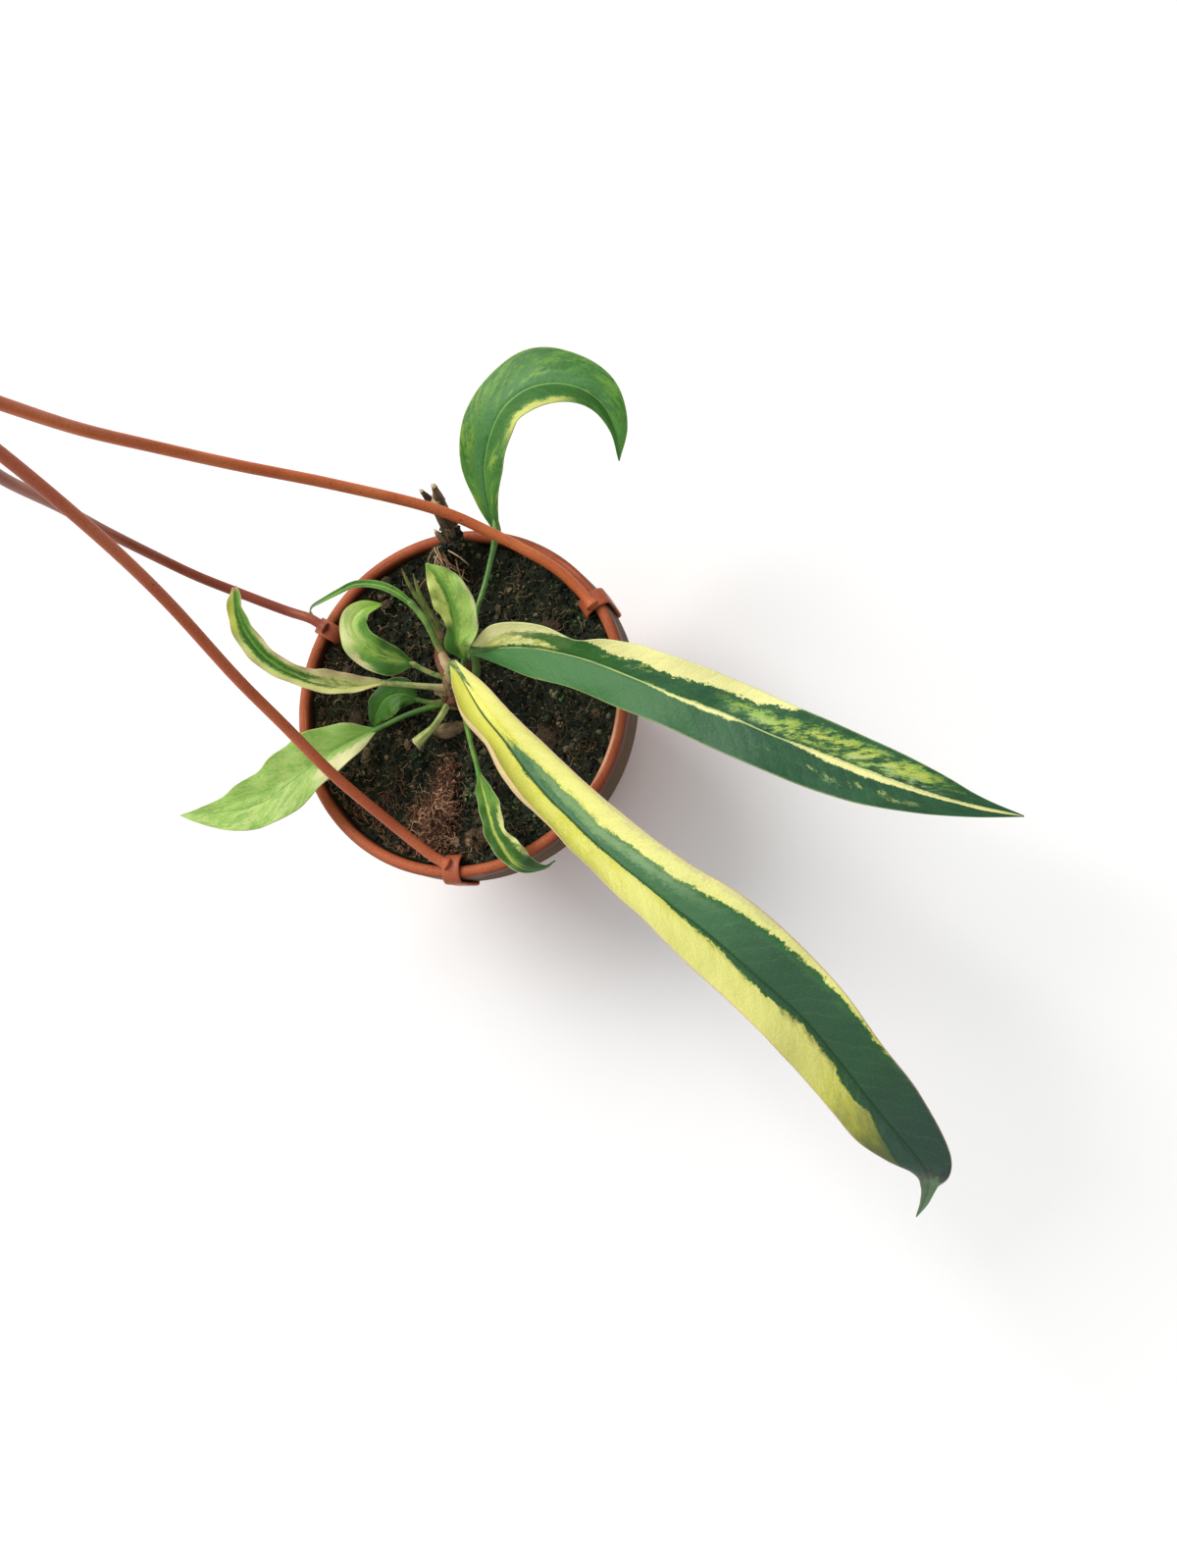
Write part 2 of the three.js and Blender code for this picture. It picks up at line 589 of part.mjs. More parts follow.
// Points of one half's cross-section, from the midrib to the margin, each with its own normal
function bladeHalf(leaf, frame, s, sideSign) {
  const width = Math.max(valueAlong(sideSign > 0 ? leaf.left : leaf.right, s), BLADE.narrowest);
  const fold = THREE.MathUtils.degToRad(valueAlong(leaf.fold, s));
  const curl = THREE.MathUtils.degToRad(valueAlong(sideSign > 0 ? leaf.curlLeft : leaf.curlRight, s));
  const taper = Math.min(1, width / BLADE.rippleRelief);
  const wave = (v) => {
    const phase = leaf.ripple.phase + (sideSign > 0 ? 0 : BLADE.rightPhase);
    const swing = Math.sin(2 * Math.PI * (leaf.ripple.count * s + phase));
    return leaf.ripple.height * swing * v * v * taper;
  };
  const { samples } = BLADE;
  const half = [];
  let [out, rise, angle] = [0, 0, fold];
  for (let i = 0; i <= samples; i += 1) {
    const v = i / samples;
    if (i > 0) {
      angle = fold + curl * Math.pow((i - 0.5) / samples, BLADE.curlPower);
      out += (Math.cos(angle) * width) / samples;
      rise += (Math.sin(angle) * width) / samples;
    }
    const point = frame.centre.clone().addScaledVector(frame.left, sideSign * out);
    point.addScaledVector(frame.face, rise + wave(v));
    const normal = frame.face.clone().multiplyScalar(Math.cos(angle));
    normal.addScaledVector(frame.left, -sideSign * Math.sin(angle));
    half.push({ v, point, normal });
  }
  const stations = Array.from({ length: leaf.across + 1 }, (_, k) => Math.round((k * samples) / leaf.across));
  const picked = stations.map((k) => half[k]);
  picked[0] = { ...picked[0], normal: frame.face };
  return picked;
}

function bladeSolid(leaf) {
  const curve = curveThrough(leaf.midrib);
  const rows = [];
  for (let i = 0; i <= leaf.rows; i += 1) {
    const s = i / leaf.rows;
    const frame = bladeFrame(leaf, curve, s);
    const leftHalf = bladeHalf(leaf, frame, s, 1).reverse();
    const rightHalf = bladeHalf(leaf, frame, s, -1).slice(1);
    rows.push([...leftHalf, ...rightHalf]);
  }
  const columns = rows[0].length;
  const vertices = [];
  for (const offset of [BLADE.thickness / 2, -BLADE.thickness / 2]) {
    for (const row of rows) {
      for (const { point, normal } of row) vertices.push(point.clone().addScaledVector(normal, offset));
    }
  }
  const lower = rows.length * columns;
  const triangles = [];
  for (let i = 0; i < leaf.rows; i += 1) {
    for (let k = 0; k < columns - 1; k += 1) {
      const [a, b] = [i * columns + k, i * columns + k + 1];
      const [c, d] = [a + columns, b + columns];
      triangles.push([a, b, c], [b, d, c]);
      triangles.push([a + lower, c + lower, b + lower], [b + lower, c + lower, d + lower]);
    }
    for (const [k, turn] of [[0, false], [columns - 1, true]]) {
      const [a, c] = [i * columns + k, (i + 1) * columns + k];
      const wall = [[a, c, a + lower], [c, c + lower, a + lower]];
      triangles.push(...(turn ? wall.map((t) => [t[0], t[2], t[1]]) : wall));
    }
  }
  for (const [row, turn] of [[0, true], [leaf.rows, false]]) {
    for (let k = 0; k < columns - 1; k += 1) {
      const [a, b] = [row * columns + k, row * columns + k + 1];
      const wall = [[a, b, a + lower], [b, b + lower, a + lower]];
      triangles.push(...(turn ? wall.map((t) => [t[0], t[2], t[1]]) : wall));
    }
  }
  return toSolid(closedGeometry(vertices, triangles));
}

// The stalk runs on under the blade as its midrib, thinning towards the tip
const RIB = { stations: [-0.02, 0.08, 0.18, 0.28, 0.38], overlap: 1, thinnest: 0.55, sides: 5, steps: 6 };

function stalkSolid(leaf, grow) {
  const radii = leaf.stalkRadius.map((radius) => radius + grow);
  return sweep(leaf.stalk, radii, 6, 2 * (leaf.stalk.length - 1));
}

function ribSolid(leaf) {
  const curve = curveThrough(leaf.midrib);
  const thick = leaf.stalkRadius.at(-1);
  const points = RIB.stations.map((s) => {
    const frame = bladeFrame(leaf, curve, Math.max(s, 0));
    const point = frame.centre.clone().addScaledVector(frame.face, -BLADE.thickness / 2);
    if (s < 0) point.addScaledVector(frame.along, -RIB.overlap);
    return point.toArray();
  });
  const radii = RIB.stations.map((s) => Math.max(thick * (1 - s), RIB.thinnest));
  return sweep(points, radii, RIB.sides, RIB.steps);
}

function leafSolid(leaf) {
  return largestPiece(unite([bladeSolid(leaf), stalkSolid(leaf, 0), ribSolid(leaf)]));
}

// New shoots, fused at their sheath, and the cut stalk

const SHOOTS = {
  root: [[-3.6, 14.6, 86.6], [-4.6, 17.6, 88], [-4.7, 20.8, 90]],
  rootRadius: [1.2, 1.6, 1.9],
  spears: [
    {
      points: [[-4.7, 20.8, 90], [-4.8, 25.1, 93.5], [-6.3, 29, 97], [-7, 33.4, 101], [-7.1, 38.1, 105.5]],
      radii: [1.9, 1.8, 1.5, 0.9, 0.4],
    },
    {
      points: [[-4.8, 25.1, 93.2], [-6.2, 28.6, 96.5], [-8.2, 32.2, 100.5], [-9.5, 35.9, 104], [-10.2, 39.4, 107.5]],
      radii: [1.4, 1.3, 1, 0.8, 0.4],
    },
  ],
};

function shootRoot(grow) {
  return sweep(SHOOTS.root, SHOOTS.rootRadius.map((radius) => radius + grow), 6, 3);
}

function shootsSolid() {
  const spears = SHOOTS.spears.map((spear) => sweep(spear.points, spear.radii, 6, 6));
  return unite([shootRoot(0), ...spears]);
}

const CUT_STALK = {
  points: [[-0.6, 0.2, 85.4], [-2.4, -1.8, 86.4], [-4, -5.4, 87.4], [-6.9, -9.6, 88], [-10.4, -12.4, 87.6], [-13, -14.3, 87]],
  radii: [1.2, 1.2, 1.1, 1.15, 1.7, 2],
};

function cutStalkSolid(grow) {
  return sweep(CUT_STALK.points, CUT_STALK.radii.map((radius) => radius + grow), 7, 8);
}

// Hanger: each arm carries its own rim clip, and the three meet under a hub with a hook

const ARMS = [
  {
    name: "hanger_arm_back",
    clipAzimuth: 32,
    points: [
      [48.2, 28.4, 87.4], [43.6, 34.2, 89.4], [35.7, 41.1, 94.3], [18.7, 50.1, 103.4], [2.8, 55.9, 113.9],
      [-21.5, 58.6, 132.5], [-42.1, 58.3, 152.7], [-54.7, 56.2, 172.7], [-60.3, 51.9, 193.4],
      [-60.6, 46.4, 217.7], [-61.2, 42.4, 238.5],
    ],
  },
  {
    name: "hanger_arm_left",
    clipAzimuth: 150,
    points: [
      [-48.6, 28.2, 87.7], [-53.8, 31.6, 89.7], [-63, 34.9, 91.2], [-77.6, 40.4, 99.2], [-86.9, 43.8, 108.5],
      [-93.6, 46.9, 120.2], [-96.4, 48.2, 140], [-90, 45.1, 167.1], [-78, 38.4, 199.5],
      [-68, 36.4, 224], [-64.9, 36.4, 238.5],
    ],
  },
  {
    name: "hanger_arm_front",
    clipAzimuth: 270,
    points: [
      [-1, -55.2, 87.4], [-6.2, -51.8, 90.2], [-15.6, -42.7, 98.5], [-28.8, -28.3, 113.6], [-38.1, -14.8, 127.5],
      [-45.5, -2.6, 142.8], [-52.4, 13.8, 165.9], [-55.9, 24.4, 189.3], [-57.6, 32.4, 216.8],
      [-57.9, 36.2, 238.5],
    ],
  },
];

// The strap's outline seen from the side: an arch over the ridge, hooked under the skirt's lip
function clipArch(inset, fromDegrees, toDegrees) {
  const steps = 7;
  return Array.from({ length: steps + 1 }, (_, i) => {
    const angle = THREE.MathUtils.degToRad(fromDegrees + ((toDegrees - fromDegrees) * i) / steps);
    return [
      CLIP.centre + (CLIP.halfSpan - inset) * Math.cos(angle),
      CLIP.springHeight + (CLIP.rise - inset) * Math.sin(angle),
    ];
  });
}

function clipOutline() {
  const legOuter = CLIP.centre + CLIP.halfSpan;
  const legInner = legOuter - CLIP.wall;
  const tongue = CLIP.centre - CLIP.halfSpan;
  return [
    [tongue, CLIP.springHeight - CLIP.innerDrop + 1],
    ...clipArch(0, 180, 0),
    [legOuter + 0.2, lipHeight - 1.6],
    [legOuter - CLIP.footReach, lipHeight - 1.3],
    [legOuter - CLIP.footReach, lipHeight - 0.4],
    [legInner, lipHeight - 0.5],
    ...clipArch(CLIP.wall, 0, 180),
    [tongue + CLIP.wall, CLIP.springHeight - CLIP.innerDrop],
    [tongue + CLIP.wall / 2, CLIP.springHeight - CLIP.innerDrop],
  ];
}

function prism([fromRadius, toRadius], outline) {
  const shape = new THREE.Shape(outline.map(([across, z]) => new THREE.Vector2(across, z)));
  const geometry = new THREE.ExtrudeGeometry(shape, { depth: toRadius - fromRadius, bevelEnabled: false });
  geometry.rotateX(Math.PI / 2);
  geometry.rotateZ(Math.PI / 2);
  geometry.translate(fromRadius, 0, 0);
  return toSolid(geometry);
}

// The strap flares to its foot outside the pot and tapers to a tongue inside it
function clipSolid(azimuth) {
  const shape = new THREE.Shape(clipOutline().map(([radius, z]) => new THREE.Vector2(radius, z)));
  const strap = new THREE.ExtrudeGeometry(shape, { depth: CLIP.footWidth, bevelEnabled: false });
  strap.translate(0, 0, -CLIP.footWidth / 2);
  strap.rotateX(Math.PI / 2);
  const [half, foot] = [CLIP.width / 2, CLIP.footWidth / 2 + 1];
  const tongueTip = CLIP.springHeight - CLIP.innerDrop;
  const [above, below] = [POT.height + 10, lipHeight - 10];
  const outer = prism([POT.ridgeCircle - 0.5, POT.skirtLip + 6], [
    [-half, above], [-half, CLIP.flareTop], [-foot + 1, CLIP.flareBottom], [-foot + 1, below],
    [foot - 1, below], [foot - 1, CLIP.flareBottom], [half, CLIP.flareTop], [half, above],
  ]);
  const inner = prism([CLIP.centre - CLIP.halfSpan - 1, POT.ridgeCircle], [
    [-half, above], [-half, tongueTip + 4], [-half / 4, tongueTip - 1], [half / 4, tongueTip - 1],
    [half, tongueTip + 4], [half, above],
  ]);
  return toSolid(strap).intersect(outer.add(inner)).rotate([0, 0, azimuth]);
}

function armSolid(arm) {
  const rod = sweep(arm.points, ARM.radius, ARM.sides, ARM.steps);
  return unite([rod, clipSolid(arm.clipAzimuth)]);
}

function hookSolid() {
  const top = HUB.bottom + HUB.height;
  const hub = new THREE.CylinderGeometry(HUB.radius * 0.72, HUB.radius, HUB.height, 16);
  hub.rotateX(Math.PI / 2);
  hub.translate(HUB.x, HUB.y, HUB.bottom + HUB.height / 2);
  const ringCentre = top + HOOK.stem + HOOK.ring;
  const ring = Array.from({ length: HOOK.ringPoints }, (_, i) => {
    const angle = THREE.MathUtils.degToRad(-90 + (HOOK.sweepDegrees * i) / (HOOK.ringPoints - 1));
    return [HUB.x + HOOK.ring * Math.cos(angle), HUB.y, ringCentre + HOOK.ring * Math.sin(angle)];
  });
  const stem = [[HUB.x, HUB.y, top - 3], [HUB.x - 0.6, HUB.y, top + 4], [HUB.x - 1.2, HUB.y, top + HOOK.stem - 3]];
  const rod = sweep([...stem, ...ring], HOOK.rod, HOOK.sides, HOOK.steps);
  return unite([toSolid(hub), rod]);
}

// Scene graph

const group = new THREE.Group();

function addMesh(name, solid, colour, roughness) {
  const material = new THREE.MeshStandardMaterial({ color: colour, roughness, metalness: 0 });
  const mesh = new THREE.Mesh(toGeometry(solid), material);
  mesh.name = name;
  group.add(mesh);
}

const stalkCutters = [
  ...LEAVES.map((leaf) => stalkSolid(leaf, GAP)),
  shootRoot(GAP),
  cutStalkSolid(GAP),
];

let soil = soilSolid().subtract(crownWhole(GAP)).subtract(stubTrunk(GAP)).subtract(coirMound(GAP));
for (const chip of CHIPS) soil = soil.subtract(chipSolid(chip, GAP));

addMesh("pot", potSolid(), COLOURS.terracotta, 0.42);
addMesh("potting_mix", largestPiece(soil), COLOURS.soil, 0.95);
addMesh("coir_tuft", coirSolid(), COLOURS.coir, 0.9);
addMesh("dry_stub", stubSolid(), COLOURS.wood, 0.85);
addMesh("crown", crownSolid(stalkCutters), COLOURS.crown, 0.7);
for (const chip of CHIPS) addMesh(chip.name, chipSolid(chip, 0), COLOURS.bark, 0.85);
for (const leaf of LEAVES) addMesh(leaf.name, leafSolid(leaf), leaf.colour, 0.5);
addMesh("new_shoots", shootsSolid(), COLOURS.midGreen, 0.5);
addMesh("cut_stalk", cutStalkSolid(0), COLOURS.cutStalk, 0.6);
for (const arm of ARMS) addMesh(arm.name, armSolid(arm), COLOURS.terracotta, 0.42);
addMesh("hanger_hook", hookSolid(), COLOURS.terracotta, 0.42);

export default group;
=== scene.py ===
"""Looks of a potted Anthurium vittarifolium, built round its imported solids.

Sizes are millimetres in the solids' own frame, and become metres where a mesh is made.
"""

import logging
import math
from dataclasses import dataclass, field
from enum import Enum
from typing import Optional, Sequence, Union

import bmesh
import bpy
import numpy as np
from mathutils import Matrix, Vector, noise


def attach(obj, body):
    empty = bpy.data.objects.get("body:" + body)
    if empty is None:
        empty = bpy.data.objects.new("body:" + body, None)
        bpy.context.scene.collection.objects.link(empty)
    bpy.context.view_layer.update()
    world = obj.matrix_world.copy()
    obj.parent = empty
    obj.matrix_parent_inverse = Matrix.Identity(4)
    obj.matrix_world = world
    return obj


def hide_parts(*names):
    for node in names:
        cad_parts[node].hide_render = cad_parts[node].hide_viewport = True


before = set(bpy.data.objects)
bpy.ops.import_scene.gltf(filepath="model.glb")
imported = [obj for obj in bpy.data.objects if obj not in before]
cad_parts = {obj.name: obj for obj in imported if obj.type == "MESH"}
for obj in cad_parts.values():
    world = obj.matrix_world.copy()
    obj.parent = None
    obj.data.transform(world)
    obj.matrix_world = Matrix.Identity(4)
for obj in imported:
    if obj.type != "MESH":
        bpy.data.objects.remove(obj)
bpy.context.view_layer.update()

LOG = logging.getLogger("potted_anthurium")
MM = 0.001
TURN = 2 * math.pi
UP = np.array([0.0, 0.0, 1.0])
VEIN_GAP = 5.2
VEIN_SLANT = 0.9

Colour = tuple[float, float, float]
Range = tuple[float, float]
Line = tuple[Range, ...]
Places = Sequence[Sequence[float]]
Values = Union[float, Sequence[float]]


class Slot(Enum):
    """The record's material slots."""

    POT = "pot_plastic"
    HANGER = "hanger_plastic"
    MIX = "potting_mix"
    COIR = "coir"
    BARK = "bark"
    WOOD = "dry_wood"
    CROWN = "crown_sheath"
    DARK_LEAF = "dark_green_leaf"
    YELLOW_LEAF = "yellow_variegated_leaf"
    MID_LEAF = "mid_green_leaf"
    PALE_LEAF = "pale_green_leaf"
    CUT_STALK = "cut_stalk"


def shade(red: int, green: int, blue: int) -> Colour:
    """Turn a display colour into the linear one that shaders use.

    Args:
        red: Red, 0 to 255.
        green: Green, 0 to 255.
        blue: Blue, 0 to 255.

    Returns:
        The linear colour, 0 to 1.
    """
    knee, slope, offset, power = 0.04045, 12.92, 0.055, 2.4
    parts = [value / 255 for value in (red, green, blue)]
    return tuple(p / slope if p <= knee else ((p + offset) / (1 + offset)) ** power for p in parts)


# Curves through listed points


def _cell(values: np.ndarray, s: np.ndarray) -> tuple[list[np.ndarray], np.ndarray]:
    """Find the four values round each s, and how far s is between the middle two."""
    last = len(values) - 1
    ends = [2 * values[:1] - values[1:2], values, 2 * values[-1:] - values[-2:-1]]
    padded = np.concatenate(ends)
    cell = np.clip(np.floor(s * last), 0, last - 1).astype(int)
    t = s * last - cell
    return [padded[cell + k] for k in range(4)], t if values.ndim == 1 else t[:, None]


def spline(values: Union[Values, Places], s: np.ndarray) -> np.ndarray:
    """Read a uniform Catmull-Rom line through values.

    Args:
        values: Numbers or points, or one number for the whole line.
        s: Where to read, 0 to 1.

    Returns:
        One number or point for each s.
    """
    values = np.asarray(values, float)
    s = np.asarray(s, float)
    if values.ndim == 0:
        return np.full(s.shape, float(values))
    (a, b, c, d), t = _cell(values, s)
    square = 2 * a - 5 * b + 4 * c - d
    cubic = -a + 3 * b - 3 * c + d
    return 0.5 * (2 * b + (c - a) * t + square * t**2 + cubic * t**3)


def heading(points: Places, s: np.ndarray) -> np.ndarray:
    """Give the unit direction of a Catmull-Rom line at each s."""
    (a, b, c, d), t = _cell(np.asarray(points, float), np.asarray(s, float))
    square = 2 * a - 5 * b + 4 * c - d
    cubic = -a + 3 * b - 3 * c + d
    return unit((c - a) + 2 * square * t + 3 * cubic * t**2)


def unit(vectors: np.ndarray) -> np.ndarray:
    """Scale each vector to length one."""
    return vectors / np.linalg.norm(vectors, axis=-1, keepdims=True)


def turn_steps(count: int) -> np.ndarray:
    """List evenly spaced angles round a full turn, radians."""
    return TURN * np.arange(count) / count


def line_length(points: np.ndarray) -> float:
    """Measure a run of points."""
    return float(np.linalg.norm(np.diff(points, axis=0), axis=1).sum())


def bell(distance: np.ndarray, reach: float) -> np.ndarray:
    """Give a smooth hump of height one and half-width about reach."""
    return np.exp(-((distance / reach) ** 2))


def rough(points: np.ndarray, size: float, octaves: int = 3, seed: float = 0.0) -> np.ndarray:
    """Give smooth seeded noise, about -1 to 1, at each point.

    Args:
        points: Points in mm, n x 3.
        size: Width of the coarsest bumps, mm.
        octaves: Number of finer layers.
        seed: Shift that gives another pattern.

    Returns:
        One value for each point.
    """
    shift = Vector((seed, 1.7 * seed, 2.3 * seed))
    places = (Vector(point) / size + shift for point in points.tolist())
    return np.array([noise.fractal(place, 0.9, 2.1, octaves) for place in places])


def new_object(name: str, data: bpy.types.ID) -> bpy.types.Object:
    """Make an object of its data and put it in the scene."""
    thing = bpy.data.objects.new(name, data)
    bpy.context.scene.collection.objects.link(thing)
    return thing


# Gathering the points and faces of a piece


def grid_quads(rows: int, columns: int, wrap: bool = False) -> np.ndarray:
    """List the quads of a grid of points, facing the side from which columns run clockwise.

    Args:
        rows: Number of rows of points.
        columns: Number of points in a row.
        wrap: Whether the last column joins the first.

    Returns:
        Quads as an n x 4 array of point numbers.
    """
    i = np.arange(rows - 1)[:, None] * columns
    k = np.arange(columns if wrap else columns - 1)[None, :]
    following = (k + 1) % columns
    quads = [i + k, i + following, i + columns + following, i + columns + k]
    return np.stack([q.ravel() for q in np.broadcast_arrays(*quads)], axis=1)


def closed_faces(rows: int, columns: int, flip: bool = False) -> list[np.ndarray]:
    """List the faces of rings of points that are closed by two poles, the two points after them.

    Args:
        rows: Number of rings.
        columns: Number of points in a ring.
        flip: Whether the faces look the other way.

    Returns:
        The quads between the rings, and the triangles at the first and at the last pole.
    """
    count = rows * columns
    k = np.arange(columns)
    following = (k + 1) % columns
    last = count - columns
    start = np.stack([np.full(columns, count), following, k], axis=1)
    end = np.stack([np.full(columns, count + 1), last + k, last + following], axis=1)
    quads = grid_quads(rows, columns, wrap=True)
    if flip:
        return [quads[:, ::-1], start[:, [0, 2, 1]], end[:, [0, 2, 1]]]
    return [quads, start, end]


def ball(level: int) -> tuple[np.ndarray, np.ndarray]:
    """Give the points and triangles of a unit ball.

    Args:
        level: Subdivision level; 1 has 20 triangles.

    Returns:
        Points and triangles.
    """
    form = bmesh.new()
    bmesh.ops.create_icosphere(form, subdivisions=level, radius=1.0)
    points = np.array([vert.co[:] for vert in form.verts])
    faces = np.array([[vert.index for vert in face.verts] for face in form.faces])
    form.free()
    return points, faces


BALLS = {level: ball(level) for level in (1, 3, 4)}


class Shape:
    """Gathers points, faces and paint coordinates of one piece.

    Two UV maps carry what the finishes read: "lay" holds where a point is along and across its
    part, and "grain" holds a tone for each part and which sheet of a leaf it is on.
    """

    def __init__(self) -> None:
        """Start with nothing gathered."""
        self.points: list[np.ndarray] = []
        self.faces: dict[int, list[np.ndarray]] = {3: [], 4: []}
        self.slots: dict[int, list[np.ndarray]] = {3: [], 4: []}
        self.lay: list[np.ndarray] = []
        self.grain: list[np.ndarray] = []
        self.total = 0

    def add(self, points: np.ndarray, faces: Sequence[np.ndarray], lay: Optional[np.ndarray] = None,
            tone: float = 0.0, sheet: Union[float, np.ndarray] = 0.0, slot: int = 0) -> None:
        """Add one closed part.

        Args:
            points: Its points in mm, n x 3.
            faces: Arrays of triangles or quads, numbered from its own first point.
            lay: Along and across for each point, n x 2.
            tone: A number that tells this part from its neighbours, 0 to 1.
            sheet: 1 on a leaf's upper sheet, 0 elsewhere.
            slot: Which of the piece's materials it takes.
        """
        count = len(points)
        self.points.append(points)
        self.lay.append(np.zeros((count, 2)) if lay is None else lay)
        grain = np.empty((count, 2))
        grain[:, 0] = tone
        grain[:, 1] = sheet
        self.grain.append(grain)
        for part in faces:
            corners = part.shape[1]
            self.faces[corners].append(part + self.total)
            self.slots[corners].append(np.full(len(part), slot))
        self.total += count

    def tube(self, points: np.ndarray, radii: Values, sides: int = 8, tone: float = 0.0, slot: int = 0,
             relief: Optional[np.ndarray] = None, flat: float = 1.0, blunt: float = 0.6) -> None:
        """Add a closed tube along points.

        Args:
            points: Centre line in mm, n x 3.
            radii: Radius at each point, or one for all.
            sides: Number of sides.
            tone: The part's tone.
            slot: Which of the piece's materials it takes.
            relief: What is added to the radius, n x sides.
            flat: Thickness over width of the section.
            blunt: How far the ends bulge, as a share of the radius.
        """
        count = len(points)
        radii = np.broadcast_to(np.asarray(radii, float), (count,))
        along = unit(np.gradient(points, axis=0))
        side = np.array([0.0, 1.0, 0.0]) if abs(along[0, 0]) > 0.8 else np.array([1.0, 0.0, 0.0])
        sides_of = np.empty_like(points)
        for i, direction in enumerate(along):
            side = side - direction * side.dot(direction)
            side = side / math.sqrt(side.dot(side))
            sides_of[i] = side
        others = np.cross(along, sides_of)
        angle = turn_steps(sides)
        reach = radii[:, None] + (0 if relief is None else relief)
        wide = (np.cos(angle) * reach)[:, :, None] * sides_of[:, None, :]
        thick = (flat * np.sin(angle) * reach)[:, :, None] * others[:, None, :]
        rings = points[:, None, :] + wide + thick
        poles = [points[0] - along[0] * radii[0] * blunt, points[-1] + along[-1] * radii[-1] * blunt]
        folded = 1 - np.abs(angle / math.pi - 1)
        s = np.repeat(np.linspace(0, 1, count), sides)
        lay = np.stack([s, np.tile(folded, count)], axis=1)
        lay = np.concatenate([lay, [[0.0, 0.5], [1.0, 0.5]]])
        body = np.concatenate([rings.reshape(-1, 3), poles])
        self.add(body, closed_faces(count, sides), lay, tone, 0.0, slot)

    def sheet(self, points: np.ndarray, normals: np.ndarray, above: np.ndarray, below: np.ndarray,
              lay: Optional[np.ndarray] = None, tone: float = 0.0, slot: int = 0) -> None:
        """Add a closed sheet round a grid of points.

        Args:
            points: Middle surface in mm, rows x columns x 3, columns from left to right.
            normals: Its upward directions.
            above: Height of the upper skin over it, rows x columns.
            below: Depth of the lower skin under it.
            lay: Along and across for each point, rows x columns x 2.
            tone: The part's tone.
            slot: Which of the piece's materials it takes.
        """
        rows, columns = points.shape[:2]
        upper = points + normals * above[:, :, None]
        lower = points - normals * below[:, :, None]
        count = rows * columns
        top = grid_quads(rows, columns)
        bottom = top[:, ::-1] + count
        i = np.arange(rows - 1) * columns
        k = np.arange(columns - 1)
        right, end = columns - 1, (rows - 1) * columns
        walls = [
            [i, i + columns, i + columns + count, i + count],
            [i + right, i + right + count, i + right + columns + count, i + right + columns],
            [k, k + count, k + 1 + count, k + 1],
            [end + k, end + k + 1, end + k + 1 + count, end + k + count],
        ]
        faces = [top, bottom] + [np.stack(wall, axis=1) for wall in walls]
        if lay is None:
            s, v = np.meshgrid(np.linspace(0, 1, rows), np.linspace(0, 1, columns), indexing="ij")
            lay = np.stack([s, v], axis=2)
        flat_lay = np.tile(lay.reshape(-1, 2), (2, 1))
        side = np.repeat([1.0, 0.0], count)
        body = np.concatenate([upper.reshape(-1, 3), lower.reshape(-1, 3)])
        self.add(body, faces, flat_lay, tone, side, slot)

    def lump(self, centre: Sequence[float], size: Sequence[float], turn: Sequence[float], level: int,
             bumps: float, grain: float, tone: float, slot: int = 0) -> None:
        """Add a rough lump.

        Args:
            centre: Where it is, mm.
            size: Its half sizes, mm.
            turn: Its turns about x, y and z, radians.
            level: Subdivision level of the ball it is made from.
            bumps: Height of its bumps as a share of its size.
            grain: Width of its bumps as a share of its size.
            tone: The part's tone.
            slot: Which of the piece's materials it takes.
        """
        points, faces = BALLS[level]
        points = points * (1 + bumps * rough(points, grain, 3, tone * 91))[:, None]
        about_x, about_y, about_z = (Matrix.Rotation(angle, 3, axis) for angle, axis in zip(turn, "XYZ"))
        spin = about_z @ about_y @ about_x
        body = (points * np.asarray(size)) @ np.array(spin).T + np.asarray(centre)
        lay = points[:, :2] * 0.5 + 0.5
        self.add(body, [faces], lay, tone, 0.0, slot)

    def piece(self, name: str, materials: Sequence[bpy.types.Material],
              replaced: Sequence[str] = (), sharp: Optional[float] = None) -> bpy.types.Object:
        """Make the piece's object and ride it on the pot.

        Args:
            name: The piece's name.
            materials: Its materials, in the order of the parts' slots.
            replaced: The solids that it stands for.
            sharp: Edges that turn by more degrees than this stay crisp.

        Returns:
            The new object.
        """
        mesh = bpy.data.meshes.new(name)
        points = np.concatenate(self.points) * MM
        loops, starts, slots = [], [], []
        begin = 0
        for corners, parts in self.faces.items():
            if not parts:
                continue
            whole = np.concatenate(parts)
            loops.append(whole.ravel())
            starts.append(begin + corners * np.arange(len(whole)))
            slots.append(np.concatenate(self.slots[corners]))
            begin += whole.size
        corner_points = np.concatenate(loops).astype(np.int32)
        mesh.vertices.add(len(points))
        mesh.vertices.foreach_set("co", points.ravel())
        mesh.loops.add(len(corner_points))
        mesh.loops.foreach_set("vertex_index", corner_points)
        polygons = np.concatenate(starts).astype(np.int32)
        mesh.polygons.add(len(polygons))
        mesh.polygons.foreach_set("loop_start", polygons)
        mesh.polygons.foreach_set("material_index", np.concatenate(slots).astype(np.int32))
        mesh.update(calc_edges=True)
        for label, values in (("lay", self.lay), ("grain", self.grain)):
            layer = mesh.uv_layers.new(name=label)
            layer.data.foreach_set("uv", np.concatenate(values)[corner_points].ravel())
        mesh.validate()
        mesh.shade_smooth()
        if sharp is not None:
            mesh.set_sharp_from_angle(angle=math.radians(sharp))
        for material in materials:
            mesh.materials.append(material)
        thing = new_object(name, mesh)
        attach(thing, "root")
        if replaced:
            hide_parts(*replaced)
